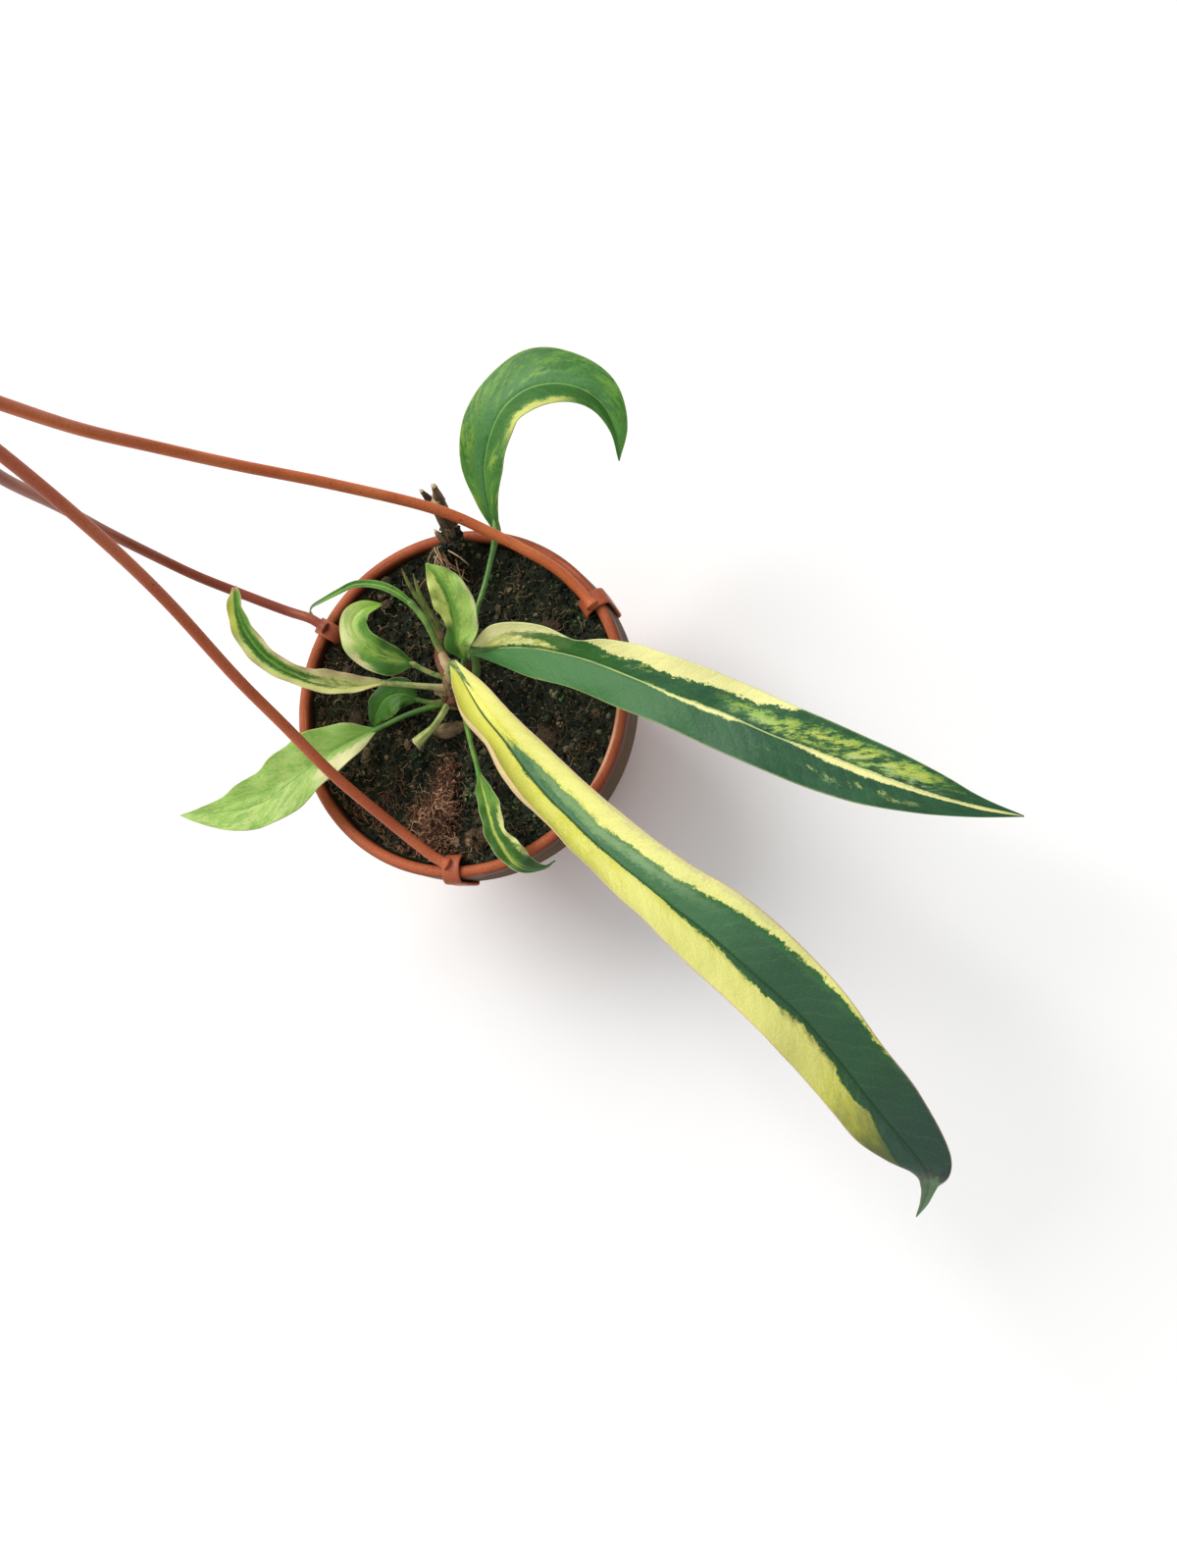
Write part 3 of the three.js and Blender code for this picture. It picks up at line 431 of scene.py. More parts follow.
        LOG.info("%s: %d faces, stands for %s", name, len(mesh.polygons), list(replaced) or "nothing")
        return thing


# Shader maths and nodes


class Wire:
    """A socket that does arithmetic by adding Math nodes to its tree."""

    def __init__(self, net: "Net", socket: bpy.types.NodeSocket) -> None:
        """Wrap an output socket."""
        self.net = net
        self.socket = socket

    def math(self, operation: str, *values: "Number") -> "Wire":
        """Add a Math node with this socket and more values as its inputs."""
        return self.net.math(operation, self, *values)

    def __add__(self, other: "Number") -> "Wire":
        """Add."""
        return self.math("ADD", other)

    __radd__ = __add__

    def __mul__(self, other: "Number") -> "Wire":
        """Multiply."""
        return self.math("MULTIPLY", other)

    __rmul__ = __mul__

    def __sub__(self, other: "Number") -> "Wire":
        """Subtract other."""
        return self.math("SUBTRACT", other)

    def __rsub__(self, other: "Number") -> "Wire":
        """Subtract this from other."""
        return self.net.math("SUBTRACT", other, self)

    def __truediv__(self, other: "Number") -> "Wire":
        """Divide by other."""
        return self.math("DIVIDE", other)

    def __pow__(self, other: "Number") -> "Wire":
        """Raise to a power."""
        return self.math("POWER", other)

    def __abs__(self) -> "Wire":
        """Drop the sign."""
        return self.math("ABSOLUTE")

    def step(self, low: float, high: float) -> "Wire":
        """Rise smoothly from 0 at low to 1 at high."""
        limits = {"Value": self, "From Min": low, "From Max": high}
        return self.net.wire("ShaderNodeMapRange", {"interpolation_type": "SMOOTHSTEP"}, limits)

    def line(self, stops: Line) -> "Wire":
        """Read a line of (place, value) stops at this value.

        Args:
            stops: Places from 0 to 1 with values from -1.2 to 1.2.

        Returns:
            The value there.
        """
        reach = 1.2
        grey = [(place, ((value + reach) / (2 * reach),) * 3) for place, value in stops]
        return self.net.ramp(self, grey, plain=True) * (2 * reach) - reach


Number = Union[Wire, float]


class Net:
    """Builds one material's node tree."""

    def __init__(self, name: str) -> None:
        """Make an empty material."""
        self.material = bpy.data.materials.new(name)
        self.material.use_nodes = True
        self.tree = self.material.node_tree
        self.tree.nodes.clear()

    def node(self, kind: str, settings: Optional[dict] = None,
             inputs: Optional[dict] = None) -> bpy.types.Node:
        """Add a node.

        Args:
            kind: The node's type.
            settings: Its settings, with "stops" for a ramp's stops.
            inputs: Values or wires for its sockets, by name or number.

        Returns:
            The node.
        """
        node = self.tree.nodes.new(kind)
        for key, value in (settings or {}).items():
            if key == "stops":
                self._set_stops(node.color_ramp, value)
            else:
                setattr(node, key, value)
        for key, value in (inputs or {}).items():
            socket = node.inputs[key]
            if isinstance(value, Wire):
                self.tree.links.new(value.socket, socket)
            elif socket.type == "RGBA":
                socket.default_value = (*value, 1.0)
            else:
                socket.default_value = value
        return node

    @staticmethod
    def _set_stops(ramp: bpy.types.ColorRamp, stops: Sequence[tuple[float, Colour]]) -> None:
        """Give a ramp its stops."""
        while len(ramp.elements) > 1:
            ramp.elements.remove(ramp.elements[-1])
        ramp.elements[0].position = stops[0][0]
        ramp.elements[0].color = (*stops[0][1], 1.0)
        for place, colour in stops[1:]:
            ramp.elements.new(place).color = (*colour, 1.0)

    def wire(self, kind: str, settings: Optional[dict] = None, inputs: Optional[dict] = None,
             output: Union[int, str] = 0) -> Wire:
        """Add a node and take one of its outputs."""
        return Wire(self, self.node(kind, settings, inputs).outputs[output])

    def math(self, operation: str, *values: Number) -> Wire:
        """Add a Math node.

        Args:
            operation: Its operation.
            values: Its inputs in order.

        Returns:
            Its result.
        """
        return self.wire("ShaderNodeMath", {"operation": operation}, dict(enumerate(values)))

    def ramp(self, value: Wire, stops: Sequence[tuple[float, Colour]], plain: bool = False) -> Wire:
        """Read a colour ramp at a value.

        Args:
            value: Where to read it.
            stops: Its places and colours.
            plain: Whether the result is a grey taken as a number.

        Returns:
            The colour, or its red part.
        """
        colour = self.wire("ShaderNodeValToRGB", {"stops": stops}, {0: value})
        return self.wire("ShaderNodeSeparateColor", None, {0: colour}) if plain else colour

    def mix(self, factor: Number, first: Union[Wire, Colour], second: Union[Wire, Colour],
            blend: str = "MIX") -> Wire:
        """Mix two colours.

        Args:
            factor: Share of the second.
            first: Colour at 0.
            second: Colour at 1.
            blend: How they combine.

        Returns:
            The mixed colour.
        """
        settings = {"data_type": "RGBA", "blend_type": blend}
        return self.wire("ShaderNodeMix", settings, {0: factor, 6: first, 7: second}, 2)

    def pair(self, label: str) -> tuple[Wire, Wire]:
        """Read a UV map's two numbers."""
        first, second, _ = self.parts(self.wire("ShaderNodeUVMap", {"uv_map": label}))
        return first, second

    def place(self) -> Wire:
        """Give the point's place in mm."""
        return self.scaled(self.wire("ShaderNodeTexCoord", output="Object"), 1 / MM)

    def scaled(self, vector: Wire, factor: Number) -> Wire:
        """Multiply a vector or colour by a number."""
        return self.wire("ShaderNodeVectorMath", {"operation": "SCALE"}, {0: vector, "Scale": factor})

    def parts(self, vector: Wire) -> tuple[Wire, Wire, Wire]:
        """Split a vector into its three numbers."""
        node = self.node("ShaderNodeSeparateXYZ", None, {0: vector})
        x, y, z = (Wire(self, socket) for socket in node.outputs)
        return x, y, z

    def vector(self, x: Number, y: Number, z: Number) -> Wire:
        """Join three numbers into a vector."""
        return self.wire("ShaderNodeCombineXYZ", None, {0: x, 1: y, 2: z})

    def noise(self, where: Wire, size: float, detail: float = 3.0, roughness: float = 0.55) -> Wire:
        """Give soft noise, about 0.3 to 0.7 round a middle of 0.5.

        Args:
            where: Place to read.
            size: Width of the coarsest bumps, in the place's own unit.
            detail: Number of finer layers.
            roughness: Weight of the finer layers.

        Returns:
            The noise.
        """
        values = {"Vector": where, "Scale": 1 / size, "Detail": detail, "Roughness": roughness}
        return self.wire("ShaderNodeTexNoise", None, values)

    def cells(self, where: Wire, size: float) -> Wire:
        """Give the distance to the nearest of scattered points."""
        return self.wire("ShaderNodeTexVoronoi", None, {"Vector": where, "Scale": 1 / size}, "Distance")

    def bump(self, height: Wire, depth: float, strength: float = 1.0) -> Wire:
        """Tilt the surface's normal by a height.

        Args:
            height: The height, 0 to 1.
            depth: What a height of one stands for, mm.
            strength: Share of the tilt that is used.

        Returns:
            The normal.
        """
        values = {"Strength": strength, "Distance": depth * MM, "Height": height}
        return self.wire("ShaderNodeBump", None, values)

    def surface(self, colour: Union[Wire, Colour], roughness: Number, normal: Optional[Wire] = None,
                **fixed: float) -> bpy.types.Material:
        """Finish the material with a Principled shader.

        Args:
            colour: Base colour.
            roughness: Roughness.
            normal: Tilted normal.
            fixed: Values of more sockets, with underscores for spaces.

        Returns:
            The material.
        """
        inputs: dict = {"Base Color": colour, "Roughness": roughness}
        if normal is not None:
            inputs["Normal"] = normal
        inputs.update({key.replace("_", " "): value for key, value in fixed.items()})
        shader = self.node("ShaderNodeBsdfPrincipled", None, inputs)
        out = self.node("ShaderNodeOutputMaterial")
        self.tree.links.new(shader.outputs[0], out.inputs[0])
        return self.material


# Finishes


@dataclass(frozen=True)
class Plastic:
    """Moulded terracotta plastic, with dust, specks and scuffs.

    Ranges say where the pot's rim marks fade in, in mm of radius or height, or of depth into the wall:
    painted shade on the inner wall, the outer slope and the skirt's lower edge, dust and painted shade
    on the skirt, the soil's stain, and a painted highlight on the crest.
    The wall's middle runs at a radius of height times the first number of wall_line, plus the
    second, and at most the third.
    """

    name: str
    body: Colour = shade(160, 80, 48)
    pale: Colour = shade(180, 97, 62)
    # deep also paints the shade on the pot's inner wall, outer slope and the skirt's lower edge.
    deep: Colour = shade(84, 36, 24)
    # dust also greys the pot's skirt, where it stands partly for painted shade.
    dust: Colour = shade(86, 70, 48)
    speck: Colour = shade(70, 38, 28)
    rim_marks_and_painted_light: bool = False
    shine: float = 0.3
    wall_line: tuple[float, float, float] = (0.258, 38.6, 57.3)
    inner_skin: Range = (-1.2, -0.4)
    inner_top: Range = (83.8, 85.6)
    slope_out: Range = (57.9, 59.2)
    slope_top: Range = (84.3, 86.1)
    skirt_out: Range = (58.9, 59.5)
    skirt_top: Range = (80.5, 83.4)
    lip_top: Range = (72.4, 73.6)
    soil_skin: Range = (-1.2, -0.6)
    soil_top: Range = (81.5, 84.6)
    crest_circle: float = 56.7
    crest_height: Range = (85.0, 85.5)

    def material(self) -> bpy.types.Material:
        """Build the material."""
        net = Net(self.name)
        where = net.place()
        x, y, z = net.parts(where)
        cloud = net.noise(where, 22.0, 2.0)
        grit = net.noise(where, 0.9, 4.0, 0.7)
        colour = net.mix(cloud.step(0.35, 0.65), self.body, self.pale)
        colour = net.mix((0.5 - grit).step(0.02, 0.2) * 0.35, colour, self.deep)
        skirt_dust_and_shade: Number = 0.0
        # The rim marks: soil stain, dust and scuffs, with painted shade and a painted highlight.
        if self.rim_marks_and_painted_light:
            radius = (x * x + y * y) ** 0.5
            turn = net.math("ARCTAN2", y, x)
            lean, foot, top = self.wall_line
            inset = radius - net.math("MINIMUM", z * lean + foot, top)
            # Painted shade: the inner wall under the rim is darkened towards the deep colour.
            inner = (1 - inset.step(*self.inner_skin)) * (1 - z.step(*self.inner_top))
            colour = net.mix(inner * 0.8, colour, self.deep)
            smear = net.noise(net.vector(turn * 14.0, z * 1.2, radius), 5.0, 4.0, 0.65)
            # Painted shade: the outer slope under the ridge is darkened towards the deep colour all round.
            slope = radius.step(*self.slope_out) * (1 - z.step(*self.slope_top)) * (0.8 + smear * 0.4)
            colour = net.mix(slope * 0.94, colour, self.deep)
            # Partly dust, partly painted shade: the skirt is greyed with the dust colour and made rougher.
            skirt = radius.step(*self.skirt_out) * (1 - z.step(*self.skirt_top))
            skirt_dust_and_shade = skirt * (0.5 + smear * 0.75)
            # Painted shade: a dark line along the skirt's lower edge.
            lip_shade = skirt * (1 - z.step(*self.lip_top))
            colour = net.mix(skirt_dust_and_shade, colour, self.dust)
            colour = net.mix(lip_shade * 0.8, colour, self.deep)
            soil_line = 1 - inset.step(*self.soil_skin)
            soil_line = soil_line * (1 - (z + (smear - 0.5) * 6).step(*self.soil_top))
            colour = net.mix(soil_line * 0.9, colour, shade(46, 38, 28))
            scuff = net.noise(net.vector(turn * 9.0, z * 3.0, radius * 3.0), 3.0, 5.0)
            colour = net.mix(scuff.step(0.6, 0.72) * 0.4, colour, shade(214, 140, 104))
            # Painted highlight, partly real rub marks: pale broken streaks on the crest, only round the +x
            # side of the rim.
            rubbed_highlight = net.noise(net.vector(turn * 5.0, z * 2.0, radius * 2.0), 1.6, 5.0, 0.7)
            facing = net.math("COSINE", turn + 0.42).step(0.86, 0.98)
            crest = 1 - abs(radius - self.crest_circle).step(0.2, 0.9)
            crest = crest * z.step(*self.crest_height) * facing
            colour = net.mix(crest * rubbed_highlight.step(0.42, 0.5) * 0.75, colour, shade(232, 184, 150))
        spots = net.cells(where, 3.6)
        chance = net.noise(where, 7.0, 1.0)
        colour = net.mix((1 - spots.step(0.05, 0.11)) * chance.step(0.5, 0.6) * 0.7, colour, self.speck)
        colour = net.mix(net.noise(where, 2.4, 6.0, 0.75).step(0.6, 0.72) * 0.3, colour, self.dust)
        rough_value = 0.36 + cloud * 0.12 + skirt_dust_and_shade * 0.35
        speckle = net.noise(where, 0.55, 2.0, 0.6)
        colour = net.scaled(colour, 0.74 + speckle * 0.52)
        normal = net.bump(grit + net.noise(where, 7.0, 2.0) * 0.8, 0.08, 0.7)
        return net.surface(colour, rough_value, normal, Specular_IOR_Level=self.shine)


@dataclass(frozen=True)
class Crumb:
    """Loose stuff whose tone differs from grain to grain."""

    name: str
    stops: tuple[tuple[float, Colour], ...]
    grit: float = 0.6
    roughness: float = 0.9
    relief: float = 0.25
    warm: float = 0.0

    def material(self) -> bpy.types.Material:
        """Build the material."""
        net = Net(self.name)
        where = net.place()
        tone, _ = net.pair("grain")
        fine = net.noise(where, self.grit, 4.0, 0.75)
        broad = net.noise(where, self.grit * 9, 2.0)
        place = tone * 0.74 + (fine - 0.5) * 0.9 + (broad - 0.5) * 0.5 + 0.13
        colour = net.ramp(place, self.stops)
        if self.warm:
            x, _, _ = net.parts(where)
            brown = net.scaled(net.mix(1.0, colour, shade(255, 206, 158), "MULTIPLY"), 1.35)
            colour = net.mix((x * -1 + (broad - 0.5) * 60).step(-5.0, 40.0) * self.warm, colour, brown)
        normal = net.bump(fine, self.relief, 0.8)
        return net.surface(colour, self.roughness, normal, Specular_IOR_Level=0.18)


@dataclass(frozen=True)
class Fibrous:
    """Dry stalk, sheath or wood, streaked along its length."""

    name: str
    light: Colour
    middle: Colour
    dark: Colour
    tip: Colour
    tip_from: float = 0.9
    streak: float = 1.0
    roughness: float = 0.72
    relief: float = 0.25

    def material(self) -> bpy.types.Material:
        """Build the material."""
        net = Net(self.name)
        where = net.place()
        along, across = net.pair("lay")
        tone, _ = net.pair("grain")
        threads = net.noise(net.vector(along * 3.0, across * 14.0, tone * 37.0), self.streak, 4.0, 0.65)
        cloud = net.noise(where, 4.0, 3.0)
        place = (threads - 0.5) * 1.3 + (cloud - 0.5) * 0.9 + 0.3 + tone * 0.4
        colour = net.ramp(place, ((0.1, self.dark), (0.45, self.middle), (0.85, self.light)))
        colour = net.mix(along.step(self.tip_from, 1.0), colour, self.tip)
        normal = net.bump(threads, self.relief, 0.8)
        return net.surface(colour, self.roughness, normal, Specular_IOR_Level=0.25)


@dataclass(frozen=True)
class Stalk:
    """Living stalk: green with a paler top line, fibres and small flecks."""

    name: str
    body: Colour = shade(122, 158, 86)
    pale: Colour = shade(176, 192, 124)
    deep: Colour = shade(78, 118, 58)
    base: Colour = shade(190, 172, 132)
    base_reach: float = 0.12

    def material(self) -> bpy.types.Material:
        """Build the material."""
        net = Net(self.name)
        where = net.place()
        along, across = net.pair("lay")
        threads = net.noise(net.vector(along * 4.0, across * 9.0, 3.0), 1.0, 4.0, 0.6)
        cloud = net.noise(where, 3.0, 3.0)
        colour = net.mix(cloud.step(0.4, 0.62), self.body, self.deep)
        colour = net.mix(threads.step(0.5, 0.66) * 0.7, colour, self.pale)
        foot = 1 - (along + (cloud - 0.5) * 0.08).step(self.base_reach * 0.3, self.base_reach)
        colour = net.mix(foot, colour, self.base)
        flecks = net.noise(where, 0.5, 3.0, 0.7).step(0.66, 0.74)
        colour = net.mix(flecks * 0.5, colour, self.pale)
        return net.surface(colour, 0.48 + cloud * 0.12, net.bump(threads, 0.12, 0.7),
                           Specular_IOR_Level=0.25)


@dataclass(frozen=True)
class Patch:
    """An area of one colour between two lines that run along a blade.

    Each line gives how far across the blade it is, -1 the right margin to 1 the left one, at
    places along it from 0 at the stalk to 1 at the tip.
    """

    colour: Colour
    low: Union[Number, Line] = -1.2
    high: Union[Number, Line] = 1.2
    span: tuple[float, float] = (-1.0, 2.0)
    soft: float = 0.2
    mottle: float = 0.0
    strength: float = 0.9
    jag: float = 0.6
    fade: float = 0.06
    stipple: float = 0.3
    halo: Optional[Colour] = None
    rim: Optional[Colour] = None


@dataclass(frozen=True)
class Blade:
    """A leaf blade's skin: mottled greens, sectors of other colours, veins and a pale underside."""

    name: str
    slot: Slot
    deep: Colour
    light: Colour
    under: Colour
    patches: tuple[Patch, ...] = ()
    vein: Colour = shade(128, 168, 104)
    vein_strength: float = 0.1
    midrib: Colour = shade(150, 180, 110)
    midrib_strength: float = 0.7
    midrib_width: float = 0.45
    edge: Colour = shade(190, 200, 130)
    edge_strength: float = 0.5
    roughness: float = 0.46
    stalk: Stalk = Stalk("leaf_stalk")
    rib_line: Line = ((0.0, 0.0), (1.0, 0.0))

    @staticmethod
    def line(s: "Wire", value: Union[Number, Line]) -> Number:
        """Give a line's place across the blade, or the one place that it has all along."""
        return value if isinstance(value, (int, float)) else s.line(value)

    def material(self, length: float, width: float) -> bpy.types.Material:
        """Build the material.

        Args:
            length: The blade's length, mm.
            width: Half its usual width, mm.

        Returns:
            The material.
        """
        net = Net(self.name)
        s, lay_v = net.pair("lay")
        _, top = net.pair("grain")
        v = lay_v * 2 - 1
        run, reach = s * length, v * width
        slant = run - abs(reach) * VEIN_SLANT
        side = (run - abs(reach) * 2.2) / 2.4
        length_wise = (run * 2.2 + abs(reach)) / 2.4
        teeth = net.noise(net.vector(side, length_wise * 0.4, 1.0), 2.2, 5.0, 0.68)
        blotch = net.noise(net.vector(side, length_wise * 0.6, 5.0), 6.0, 4.0, 0.62)
        flow = net.noise(net.vector(side, length_wise * 0.28, 9.0), 2.6, 6.0, 0.74)
        fine = net.noise(net.vector(run, reach, 13.0), 0.9, 4.0, 0.65)
        stipple = net.noise(net.vector(run, reach, 31.0), 0.5, 2.0, 0.6)
        colour = net.mix((blotch + (fine - 0.5) * 0.5).step(0.38, 0.62), self.deep, self.light)
        place = s + (blotch - 0.5) * 0.1 + (teeth - 0.5) * 0.06
        for patch in self.patches:
            edge = v + (teeth - 0.5) * patch.jag + (fine - 0.5) * patch.stipple
            above, under = edge - self.line(s, patch.low), self.line(s, patch.high) - edge
            first, last = patch.span
            stretch: Number = patch.strength
            if first > 0:
                stretch = place.step(first - patch.fade, first + patch.fade) * stretch
            if last < 1:
                stretch = (1 - place.step(last - patch.fade, last + patch.fade)) * stretch
            if patch.mottle:
                stretch = (flow + 0.5 - patch.mottle).step(0.42, 0.56) * stretch
            if patch.halo:
                around = above.step(-0.12, 0.04) * under.step(-0.12, 0.04)
                colour = net.mix(around * (flow.step(0.4, 0.6) * 0.6 + 0.3) * stretch, colour, patch.halo)
            mask = above.step(-patch.soft, patch.soft) * under.step(-patch.soft, patch.soft) * stretch
            skin = patch.colour
            if patch.rim:
                skin = net.mix(above.step(0.0, 0.14) * under.step(0.0, 0.14), patch.rim, patch.colour)
            colour = net.mix(mask, colour, skin)
        beat = net.math("FRACT", (slant + (blotch - 0.5) * 6) / VEIN_GAP)
        vein = (1 - abs(beat - 0.5).step(0.0, 0.09)) * flow.step(0.35, 0.6)
        colour = net.mix(vein * self.vein_strength, colour, self.vein)
        off = abs((v - s.line(self.rib_line)) * width)
        rib = 1 - off.step(self.midrib_width * 0.4, self.midrib_width)
        colour = net.mix(rib * self.midrib_strength * (1 - s.step(0.86, 1.0) * 0.6), colour, self.midrib)
        margin = (abs(v) + (fine - 0.5) * 0.04).step(0.955, 0.99)
        colour = net.mix(margin * self.edge_strength, colour, self.edge)
        flecks = net.noise(net.vector(run, reach, 21.0), 0.55, 3.0, 0.7).step(0.64, 0.75)
        colour = net.mix(flecks * 0.18, colour, self.edge)
        colour = net.scaled(colour, 0.76 + stipple * 0.48)
        below_skin = net.mix(0.72, colour, net.mix(vein, self.under, self.deep))
        colour = net.mix(top, below_skin, colour)
        height = fine * 0.4 + (1 - vein) * 0.25 + net.cells(net.vector(run, reach, 2.0), 1.1) * 0.4
        normal = net.bump(height, 0.18, 0.8)
        gloss = self.roughness + (blotch - 0.5) * 0.2 + (1 - top) * 0.15
        return net.surface(colour, gloss, normal, Specular_IOR_Level=0.24)


# Pot


@dataclass
class Pot:
    """Thin-walled hanging pot, turned from one outline and drilled for drainage."""

    height: float = 86
    ridge_circle: float = 57.7
    ridge_radius: float = 2
    lip_height: float = 72
    skirt_lip: float = 60.3
    skirt_wall: float = 1.1
    groove_depth: float = 8
    groove_width: float = 1
    body_radius: float = 57.2
    inner_radius: float = 55.9
    wall: float = 1.2
    foot_radius: float = 37.5
    foot_width: float = 4.5
    boss_radius: float = 10
    chamfer: float = 1.5
    recess: float = 1.8
    floor_top: float = 3.2
    drain_count: int = 6
    drain_radius: float = 3
    drain_circle: float = 21
    segments: int = 180
    finish: Plastic = Plastic("pot_plastic_worn_and_painted_light", rim_marks_and_painted_light=True, shine=0.12)

    def outline(self) -> np.ndarray:
        """List the profile's points, radius and height, from the middle of the base round to the inside."""
        top = self.lip_height + self.groove_depth
        inner = self.body_radius + 0.1
        body = [
            (0, 0), (self.boss_radius, 0), (self.boss_radius + self.chamfer, self.recess),
            (self.foot_radius - self.foot_width - self.chamfer, self.recess),
            (self.foot_radius - self.foot_width, 0), (self.foot_radius, 0),
            (self.foot_radius + self.chamfer, self.chamfer), (self.body_radius, self.lip_height),
            (inner, top), (inner + self.groove_width, top),
            (self.skirt_lip - self.skirt_wall, self.lip_height + 0.2),
            (self.skirt_lip - 0.8, self.lip_height),
            (self.skirt_lip - 0.2, self.lip_height + 0.05), (self.skirt_lip, self.lip_height + 0.4),
        ]
        angles = np.linspace(0, math.pi, 25)
        ridge = [
            (self.ridge_circle + self.ridge_radius * math.cos(a),
             self.height - self.ridge_radius + self.ridge_radius * math.sin(a)) for a in angles
        ]
        start = self.foot_radius + self.chamfer
        slope = (self.body_radius - start) / (self.lip_height - self.chamfer)
        low = min(start + slope * (self.floor_top - self.chamfer) - self.wall, self.inner_radius)
        inside = [(self.inner_radius, self.lip_height), (low, self.floor_top + 1),
                  (low - 1, self.floor_top)]
        return np.array(body + ridge + inside + [(0, self.floor_top)])

    def build(self) -> bpy.types.Object:
        """Turn, drill and dress the pot."""
        outline = self.outline()
        angle = turn_steps(self.segments)
        turned = outline[1:-1]
        rings = np.empty((len(turned), self.segments, 3))
        rings[:, :, 0] = turned[:, :1] * np.cos(angle)
        rings[:, :, 1] = turned[:, :1] * np.sin(angle)
        rings[:, :, 2] = turned[:, 1:]
        poles = [(0, 0, outline[0, 1]), (0, 0, outline[-1, 1])]
        shape = Shape()
        shape.add(np.concatenate([rings.reshape(-1, 3), poles]), closed_faces(len(turned), self.segments))
        pot = shape.piece("hanging_pot", [self.finish.material()], ["pot"], sharp=40)
        self.drill(pot)
        return pot

    def drill(self, pot: bpy.types.Object) -> None:
        """Cut the drain holes through the pot's floor."""
        pins = bmesh.new()
        for i in range(self.drain_count):
            angle = TURN * (i + 0.5) / self.drain_count
            spot = Matrix.Translation(Vector((math.cos(angle), math.sin(angle), 0)) * self.drain_circle * MM)
            bmesh.ops.create_cone(pins, cap_ends=True, segments=40, radius1=self.drain_radius * MM,
                                  radius2=self.drain_radius * MM, depth=0.012, matrix=spot)
        mesh = bpy.data.meshes.new("drain_pins")
        pins.to_mesh(mesh)
        pins.free()
        cutter = new_object("drain_pins", mesh)
        cut = pot.modifiers.new("drains", "BOOLEAN")
        cut.object, cut.operation, cut.solver = cutter, "DIFFERENCE", "EXACT"
        seen = pot.evaluated_get(bpy.context.evaluated_depsgraph_get())
        drilled = bpy.data.meshes.new_from_object(seen)
        pot.modifiers.clear()
        pot.data = drilled
        drilled.shade_smooth()
        drilled.set_sharp_from_angle(angle=math.radians(40))
        bpy.data.objects.remove(cutter)


# Hanger


@dataclass
class Clip:
    """Strap that arches over the pot's ridge and hooks under its skirt."""

    width: float = 6
    foot_width: float = 8.6
    wall: float = 1.05
    centre: float = 56.8
    half_span: float = 4.95
    rise: float = 4.1
    spring: float = 83.5
    tongue_drop: float = 4
    flare_top: float = 80
    flare_bottom: float = 75
    foot_height: float = 71
    foot_reach: float = 3.2
    bend: float = 0.7

    def path(self) -> np.ndarray:
        """List the strap's middle line, radius and height, from the tongue to the foot."""
        inset = self.wall / 2
        tongue_radius = self.centre - self.half_span + inset
        rise = np.linspace(self.spring - self.tongue_drop, self.spring, 9)[:-1]
        tongue = [(tongue_radius, z) for z in rise]
        arch = [
            (self.centre - (self.half_span - inset) * math.cos(a),
             self.spring + (self.rise - inset) * math.sin(a))
            for a in np.linspace(0, math.pi, 33)
        ]
        leg_radius = self.centre + self.half_span - inset
        leg = [(leg_radius, z) for z in np.linspace(self.spring, self.foot_height + self.bend, 22)[1:]]
        bend = [(leg_radius - self.bend + self.bend * math.cos(a),
                 self.foot_height + self.bend - self.bend * math.sin(a)) for a in (0.5, 1.0, 1.57)]
        inward = np.linspace(leg_radius - 1.1, leg_radius + inset - self.foot_reach, 5)
        foot = [(radius, self.foot_height) for radius in inward]
        return np.array(tongue + arch + leg + bend + foot)

    def add_to(self, shape: Shape, azimuth: float) -> None:
        """Add the strap to a shape.

        Args:
            shape: What gathers it.
            azimuth: Where round the rim it clips, degrees.
        """
        path = self.path()
        turn = math.radians(azimuth)
        out = np.array([math.cos(turn), math.sin(turn), 0.0])
        cross = np.array([-math.sin(turn), math.cos(turn), 0.0])
        along = unit(np.gradient(path, axis=0))
        rise_from = self.spring - self.tongue_drop
        widths = np.full(len(path), self.width)
        inner = path[:, 0] < self.centre
        widths[inner] = np.interp(path[inner, 1], [rise_from, rise_from + 3.6], [1.6, self.width])
        outer = ~inner
        widths[outer] = np.interp(path[outer, 1], [self.flare_bottom, self.flare_top],
                                  [self.foot_width, self.width])
        corners = 28
        angle = turn_steps(corners)
        power = 0.28
        wide = np.sign(np.cos(angle)) * np.abs(np.cos(angle)) ** power
        thick = np.sign(np.sin(angle)) * np.abs(np.sin(angle)) ** 0.6
        middle = path[:, :1] * out + path[:, 1:] * UP
        skin = -along[:, 1:] * out + along[:, :1] * UP
        rings = middle[:, None, :] + (widths[:, None, None] / 2) * wide[None, :, None] * cross
        rings = rings + (self.wall / 2) * thick[None, :, None] * skin[:, None, :]
        points = np.concatenate([rings.reshape(-1, 3), [middle[0], middle[-1]]])
        shape.add(points, closed_faces(len(path), corners, flip=True), slot=1)


